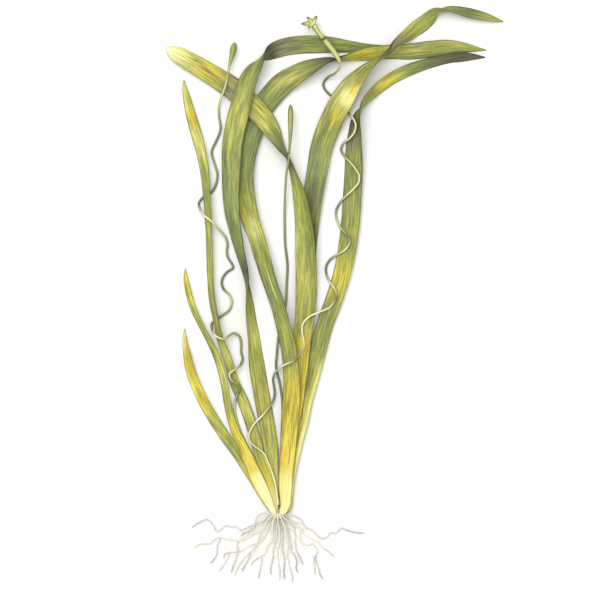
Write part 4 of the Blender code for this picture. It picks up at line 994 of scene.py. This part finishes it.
# Fleshy stem without its green: matt and blotchy, pale with browner dips
material, tree, shader = new_material("blanched_stem", 0.6, 1.4)
place = add(tree, "ShaderNodeTexCoord", out="Object")
blotch = add(tree, "ShaderNodeTexNoise", {"Vector": place, "Scale": 1.0 / (BLOTCH * MM), "Detail": 4.0})
colour = add(tree, "ShaderNodeValToRGB", {"Fac": blotch}, stops=BLOTCHES)
tree.links.new(colour, shader.inputs["Base Color"])
bump = add(tree, "ShaderNodeBump", {"Height": blotch, "Strength": 0.5, "Distance": 0.25 * MM})
tree.links.new(bump, shader.inputs["Normal"])
mesh.materials.append(material)
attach(crown, "root")
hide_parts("crown")

# Roots
# A tuft of thin, kinked roots of pale fibrous tissue that fan out from under the crown, with finer
# strands and short side rootlets between them.

ROOT_RADIUS, ROOT_TIP_RADIUS = 0.55, 0.42
ROOTS = {
    "root_01": [
        (-5.9, -1.4, 1.2), (-9, -4.6, 0.6), (-14.5, -7.5, 0), (-19.5, -9, 0), (-25.5, -11.5, 0),
        (-30, -9.5, 0), (-33, -9.5, 0), (-36.5, -8.8, 0), (-39, -10.8, 0), (-42.5, -13, 0),
        (-44.5, -9, 0), (-46.5, -6.5, 0), (-49, -4.5, 0), (-54.5, -6.5, 0), (-58, -8.5, 0),
        (-60.5, -10.5, 0),
    ],
    "root_02": [
        (-5.4, -2.6, 3.2), (-8.4, -7.4, 1.8), (-11.5, -12.5, 0.6), (-16.5, -14.5, 0), (-21, -17.5, 0),
        (-27.5, -19.5, 0), (-34.5, -18.5, 0), (-40, -17, 0), (-43.5, -18, 0), (-47.5, -21.5, 0),
        (-51, -21.5, 0), (-53.5, -21.5, 0), (-58.5, -24.5, 0),
    ],
    "root_03": [
        (-40.2, -18.1, 0), (-41.7, -22, 0), (-42.5, -28.5, 0), (-44.5, -32.5, 0), (-47, -35.5, 0),
    ],
    "root_04": [
        (-4, -3.5, 0.6), (-6.2, -8.5, 0), (-7.5, -13, 0), (-12, -19.5, 0), (-18.5, -22, 0),
        (-25.5, -26.5, 0), (-28, -27, 0), (-33.5, -27.5, 0), (-37, -29, 0), (-38, -32, 0),
    ],
    "root_05": [
        (-27.9, -20.4, 0.2), (-28, -24.5, 1.3), (-28, -27, 1.5), (-28.5, -30, 0.4), (-29.5, -33.5, 0),
        (-31.5, -38.5, 0), (-32.5, -42, 0),
    ],
    "root_06": [(-33.6, -28.5, 0), (-36.5, -34.5, 0), (-39.5, -39, 0), (-41, -41, 0)],
    "root_07": [
        (-12.1, -14.2, 0.5), (-13.5, -18, 1.4), (-14.5, -21.5, 1.5), (-15.5, -24, 0.4), (-18.5, -26.5, 0),
        (-22, -30, 0), (-25.5, -34.5, 0), (-28, -39, 0), (-30, -44, 0),
    ],
    "root_08": [(-19, -29, 0), (-21, -33.5, 0), (-23.5, -38, 0), (-25, -41, 0)],
    "root_09": [
        (-2.7, -4.1, 3.4), (-3.5, -10.5, 1.8), (-3.5, -16, 0.4), (-4.5, -20.5, 0), (-7, -23, 0),
        (-8.5, -27.5, 0), (-11, -30, 0), (-14.5, -32, 0), (-16.5, -33.5, 0), (-18.5, -37, 0),
    ],
    "root_10": [(-10.9, -31, 0), (-11.7, -38, 0), (-12.5, -42, 0), (-13.5, -46, 0)],
    "root_11": [
        (-1.5, -4.1, 0.9), (-0.7, -10, 0), (-0.5, -17, 0), (-1.5, -22, 0), (-3, -25.5, 0), (-3, -31, 0),
        (-4, -35.5, 0), (-5, -40, 0), (-4, -43.5, 0),
    ],
    "root_12": [
        (0.2, -4.3, 3.3), (1.3, -12, 1.6), (1.5, -19.5, 0.4), (0, -26.5, 0), (0.5, -33, 0), (1.5, -40, 0),
        (1.5, -47.5, 0),
    ],
    "root_13": [
        (1.3, -4.1, 0.9), (3.2, -10, 0), (4, -17, 0), (3.5, -26.5, 0), (5, -33.5, 0), (4.5, -42, 0),
        (5, -46.5, 0),
    ],
    "root_14": [
        (2.9, -4.1, 3.4), (5.2, -10, 1.9), (7, -19.5, 0.3), (7, -30, 0), (8, -34.5, 0), (9, -40, 0),
        (10.5, -44.5, 0), (10, -48.5, 0),
    ],
    "root_15": [
        (4, -3.5, 0.6), (7.2, -10, 0), (9, -19.5, 0), (9.5, -26.5, 0), (12.5, -31, 0), (13.5, -35.5, 0),
        (13, -39, 0), (14.5, -42, 0),
    ],
    "root_16": [
        (5, -3.1, 3.2), (8.2, -6.6, 2), (11.5, -10.5, 0.6), (12.5, -17.5, 0), (12.5, -21.5, 0),
        (13.5, -27, 0), (16, -31.5, 0), (18, -36.5, 0),
    ],
    "root_17": [
        (5.7, -1.9, 0.7), (9, -4.4, 0), (12, -6.5, 0), (15.5, -10, 0), (16, -16, 0), (16.5, -19, 0),
        (18.5, -21.5, 0), (21.5, -22.5, 0), (23.5, -21.5, 0), (26, -23, 0), (28, -27, 0), (25.5, -31, 0),
        (25.5, -33.5, 0), (26, -38, 0), (26, -43.5, 0),
    ],
    "root_18": [(26.9, -31.6, 0), (28.5, -38, 0), (30, -43.5, 0), (32, -46.5, 0)],
    "root_19": [
        (17.1, -11.5, 0), (19.3, -15.5, 0), (24, -18, 0), (29.5, -21.5, 0), (31.5, -24, 0),
        (35, -26.5, 0), (40, -30.5, 0),
    ],
    "root_20": [
        (6.1, -0.9, 2.9), (9.5, -0.9, 2.4), (13.5, -2.5, 1), (17, -5, 0.2), (18.5, -8.5, 0),
        (20, -10.5, 0), (23.5, -11.5, 0), (27, -14.5, 0), (29.5, -17, 0), (32, -18, 0), (34.5, -16.5, 0),
        (37.5, -13.8, 0), (40.5, -13.8, 0), (45, -10.5, 0), (48.5, -12, 0), (54, -13.5, 0), (61, -14, 0),
    ],
    "root_21": [
        (-6.1, 0.2, 3.4), (-11, 0.2, 2.9), (-14.5, -2.5, 2.2), (-15.5, -5.5, 1.7), (-16.5, -9, 1.6),
        (-18.5, -12, 0.6), (-23.5, -14, 0), (-26, -16, 0),
    ],
}
ROOT_TINTS = [                        # along a root, and at its tip
    ("#dcd7cf", "#b9b6ae"), ("#e6e2d0", "#d5d3bd"), ("#cfccc6", "#a9a7a3"), ("#e9e6cf", "#c9c7b4"),
    ("#d9d2cc", "#b2aeaa"),
]
HIGH_START = 2.0                      # roots that start higher than this come over the crown
OVER_CROWN = (4.2, 4.0)               # their height on it
UNDER_CROWN = 1.2                     # how much higher than their first row the others start
FORKS = {                             # where a forked root leaves its parent's middle
    "root_03": (-40, -17, 0), "root_05": (-27.5, -19.4, 0), "root_06": (-33.4, -27.4, 0),
    "root_07": (-11.4, -12.4, 0.6), "root_08": (-18.9, -27, 0), "root_10": (-10.8, -29.8, 0),
    "root_18": (26.9, -29, 0), "root_19": (15.6, -10.2, 0),
}


def root_fibre(name, tint, tip, seed):
    """Young root, moist and fibrous: it looks matt and slightly glassy, pale, and greyer or
    creamier towards its tip."""
    material, tree, shader = new_material(name, 0.55, 1.38)
    across, along, run = [
        add(tree, "ShaderNodeAttribute", out="Fac", attribute_name=kept)
        for kept in ("across", "along", "run")
    ]
    spot = add(tree, "ShaderNodeCombineXYZ", {"X": across, "Y": run, "Z": seed})
    grain = add(tree, "ShaderNodeTexNoise", {"Vector": spot, "Scale": 0.6, "Detail": 3.0})
    shift = add(tree, "ShaderNodeMapRange", {
        "Value": grain, "From Min": 0.3, "From Max": 0.7, "To Min": -0.2, "To Max": 0.2,
    })
    place = add(tree, "ShaderNodeMath", {0: along, 1: shift}, operation="ADD")
    stops = [(0.0, tint), (0.6, tint), (0.95, tip)]
    colour = add(tree, "ShaderNodeValToRGB", {"Fac": place}, stops=stops)
    tree.links.new(colour, shader.inputs["Base Color"])
    bump = add(tree, "ShaderNodeBump", {"Height": grain, "Strength": 0.5, "Distance": 0.1 * MM})
    tree.links.new(bump, shader.inputs["Normal"])
    return material


def whole_root(name, rows):
    """A root's rows from where it really starts: on the crown, or inside its parent."""
    x, y, low = rows[0]
    if name in FORKS:
        return [FORKS[name], *rows]
    if low > HIGH_START:
        return [(0.3 * x, 0.4, OVER_CROWN[0]), (0.7 * x, 0.5 * y, OVER_CROWN[1]), *rows]
    return [(0.4 * x, 0.3 * y, low + UNDER_CROWN), *rows]


for seed, (name, rows) in enumerate(ROOTS.items()):
    rows = whole_root(name, rows)
    thickest = ROOT_TIP_RADIUS if name in FORKS else ROOT_RADIUS
    radii = np.linspace(thickest, ROOT_TIP_RADIUS, len(rows))
    thick_rows = [(*row, radius) for row, radius in zip(rows, radii)]
    tint, tip = ROOT_TINTS[seed % len(ROOT_TINTS)]
    root = round_piece(
        "fibre_" + name, stem_guide(thick_rows, end_taper=2.0), around=12, unevenness=0.4,
        material=root_fibre("root_fibre_" + name, tint, tip, 1.7 * seed),
    )
    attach(root, "root")
    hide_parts(name)


THREAD_STATIONS, THREAD_SIDES = 26, 5
THREAD_TIP = 0.35                     # its thickness there, as a share of the full one
THREAD_LIFT = 0.12                    # how much it wanders up and down, per sideways
THREAD_HEIGHT = 0.35                  # of a strand's middle above the surface
STRANDS = 34
STRAND_FAN = (-155.0, -25.0)          # degrees, from one side of the crown round to the other
STRAND_STRAY = 2.5                    # degrees either way
STRAND_START = (2.5, 6.0)             # from the crown's middle
ROOTLET_SPAN = (0.12, 0.97)           # the share of a root that bears them
ROOTLET_LEAN = (35.0, 65.0)           # degrees off the root's course
ROOTLET_HEIGHT = 0.4                  # of its foot above the root's underside


def fan_of_threads():
    """Fine wandering threads: they start on the guide's points, head along its arrows, and lie
    almost flat."""
    tree, given = new_tree("fan_of_threads", {
        "Length": "Float", "Shortest": "Float", "Radius": "Float", "Wander": "Float",
        "Kink length": "Float", "Seed": "Int", "Material": "Material",
    })
    line = add(tree, "GeometryNodeCurvePrimitiveLine", {
        "Start": (0.0, 0.0, 0.0), "End": (1.0, 0.0, 0.0),
    })
    line = add(tree, "GeometryNodeResampleCurve", {"Curve": line, "Count": THREAD_STATIONS})
    heading = add(tree, "GeometryNodeInputNamedAttribute", {
        "Name": "heading",
    }, data_type="FLOAT_VECTOR")
    turned = add(tree, "FunctionNodeAlignRotationToVector", {"Vector": heading}, axis="X")
    size = add(tree, "FunctionNodeRandomValue", {
        "Min": given["Shortest"], "Max": 1.0, "Seed": given["Seed"],
    }, out=1, data_type="FLOAT")
    size = add(tree, "ShaderNodeMath", {0: size, 1: given["Length"]}, operation="MULTIPLY")
    placed = add(tree, "GeometryNodeInstanceOnPoints", {
        "Points": given["Geometry"], "Instance": line, "Rotation": turned, "Scale": size,
    })
    threads = add(tree, "GeometryNodeRealizeInstances", {"Geometry": placed})
    share = add(tree, "GeometryNodeSplineParameter")
    spot = add(tree, "GeometryNodeInputPosition")
    tight = add(tree, "ShaderNodeMath", {0: 1.0, 1: given["Kink length"]}, operation="DIVIDE")
    kink = add(tree, "ShaderNodeTexNoise", {"Vector": spot, "Scale": tight, "Detail": 1.5}, out="Color")
    kink = add(tree, "ShaderNodeVectorMath", {0: kink, 1: (0.5, 0.5, 0.5)}, operation="SUBTRACT")
    kink = add(tree, "ShaderNodeVectorMath", {0: kink, 1: (1.0, 1.0, THREAD_LIFT)}, operation="MULTIPLY")
    amount = add(tree, "ShaderNodeMath", {0: share, 1: given["Wander"]}, operation="MULTIPLY")
    kink = add(tree, "ShaderNodeVectorMath", {0: kink, "Scale": amount}, operation="SCALE")
    threads = add(tree, "GeometryNodeSetPosition", {"Geometry": threads, "Offset": kink})
    threads = add(tree, "GeometryNodeStoreNamedAttribute", {
        "Geometry": threads, "Name": "along", "Value": share,
    }, data_type="FLOAT", domain="POINT")
    thin = add(tree, "ShaderNodeMapRange", {
        "Value": share, "From Min": 0.0, "From Max": 1.0, "To Min": 1.0, "To Max": THREAD_TIP,
    })
    thin = add(tree, "ShaderNodeMath", {0: thin, 1: given["Radius"]}, operation="MULTIPLY")
    round_line = add(tree, "GeometryNodeCurvePrimitiveCircle", {"Resolution": THREAD_SIDES, "Radius": 1.0})
    body = add(tree, "GeometryNodeCurveToMesh", {
        "Curve": threads, "Profile Curve": round_line, "Scale": thin, "Fill Caps": True,
    })
    body = add(tree, "GeometryNodeMergeByDistance", {"Geometry": body, "Distance": 0.001 * MM})
    return finish_tree(tree, body, given["Material"])


def thread_guide(starts, headings):
    """Points where threads start, each with the direction that it heads in."""
    guide = bpy.data.meshes.new("threads")
    guide.from_pydata([tuple(start) for start in starts], [], [])
    kept = guide.attributes.new("heading", "FLOAT_VECTOR", "POINT")
    kept.data.foreach_set("vector", np.array(headings, np.float32).ravel())
    return guide


threads = fan_of_threads()
chance = np.random.default_rng(7)

# Fine strands from under the crown, between the main roots
starts, headings = [], []
strays = chance.uniform(-STRAND_STRAY, STRAND_STRAY, STRANDS)
for angle in np.radians(np.linspace(*STRAND_FAN, STRANDS) + strays):
    out = np.array((cos(angle), sin(angle), 0.0))
    starts.append((np.array((*CROWN, THREAD_HEIGHT)) + out * chance.uniform(*STRAND_START)) * MM)
    headings.append(out)
strands = grow("fine_strands", threads, thread_guide(starts, headings), {
    "Length": 40 * MM, "Shortest": 0.3, "Radius": 0.26 * MM, "Wander": 12 * MM, "Kink length": 16 * MM,
    "Seed": 3, "Material": root_fibre("strand_fibre", "#eeeadb", "#f0edd6", 40.0),
})

# Short rootlets off the sides of the main roots, leaning towards their tips
starts, headings = [], []
for rows in ROOTS.values():
    x, y, low = smooth_curve(rows, np.linspace(*ROOTLET_SPAN, 2 * len(rows))).T
    course = unit(np.column_stack((np.gradient(x), np.gradient(y))))
    for spot in range(len(x)):
        lean = radians(chance.uniform(*ROOTLET_LEAN)) * chance.choice((-1.0, 1.0))
        run_x, run_y = course[spot]
        headings.append((
            run_x * cos(lean) - run_y * sin(lean), run_x * sin(lean) + run_y * cos(lean), 0.0,
        ))
        foot = (CROWN[0] + x[spot], CROWN[1] + y[spot], max(low[spot], 0.0) + ROOTLET_HEIGHT)
        starts.append(np.array(foot) * MM)
rootlets = grow("side_rootlets", threads, thread_guide(starts, headings), {
    "Length": 5 * MM, "Shortest": 0.3, "Radius": 0.12 * MM, "Wander": 3 * MM, "Kink length": 5 * MM,
    "Seed": 5, "Material": root_fibre("rootlet_fibre", "#e8e4d8", "#eeebda", 50.0),
})
for fine in (strands, rootlets):
    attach(fine, "root")

# The surface, the light and the camera
# A plain white sheet to lie on, a wide soft lamp overhead with even light all round, and a camera
# straight above, at the distance where a 100 mm lens takes in the whole sheet that was drawn on.

FRAME_SIDE = 413.7                    # the picture's width on the surface
LENS, SENSOR = 100.0, 36.0
CAMERA_AT = (-27.4, -0.95)            # right of and above the middle of the plant's outline
FLOOR_DROP = 0.2                      # the ribs on the blades' undersides reach this far down

bpy.ops.mesh.primitive_plane_add(size=8.0, location=(0.0, 0.0, -FLOOR_DROP * MM))
floor = bpy.context.active_object
floor.name = "white_surface"
material, tree, shader = new_material("matt_white_card", 0.9, 1.3)
shader.inputs["Base Color"].default_value = linear("#f7f7f5")
floor.data.materials.append(material)

world = bpy.data.worlds.new("even_light")
bpy.context.scene.world = world
world.use_nodes = True
world.node_tree.nodes["Background"].inputs["Color"].default_value = (1.0, 1.0, 1.0, 1.0)
world.node_tree.nodes["Background"].inputs["Strength"].default_value = 0.84

lamp = bpy.data.lights.new("soft_lamp", "AREA")
lamp.shape = "SQUARE"
lamp.size = 1.3
lamp.energy = 15.0
light = bpy.data.objects.new("soft_lamp", lamp)
light.location = (-0.55, 0.65, 1.5)
light.rotation_euler = (Vector((0.0, 0.0, 0.0)) - light.location).to_track_quat("-Z", "Y").to_euler()
bpy.context.scene.collection.objects.link(light)

eye = bpy.data.cameras.new("camera")
eye.lens = LENS
eye.sensor_width = SENSOR
eye.sensor_fit = "HORIZONTAL"
eye.clip_start = 0.05
camera = bpy.data.objects.new("camera", eye)
camera.location = (CAMERA_AT[0] * MM, CAMERA_AT[1] * MM, FRAME_SIDE * MM * LENS / SENSOR)
bpy.context.scene.collection.objects.link(camera)
bpy.context.scene.camera = camera
bpy.context.scene.view_settings.view_transform = "Standard"
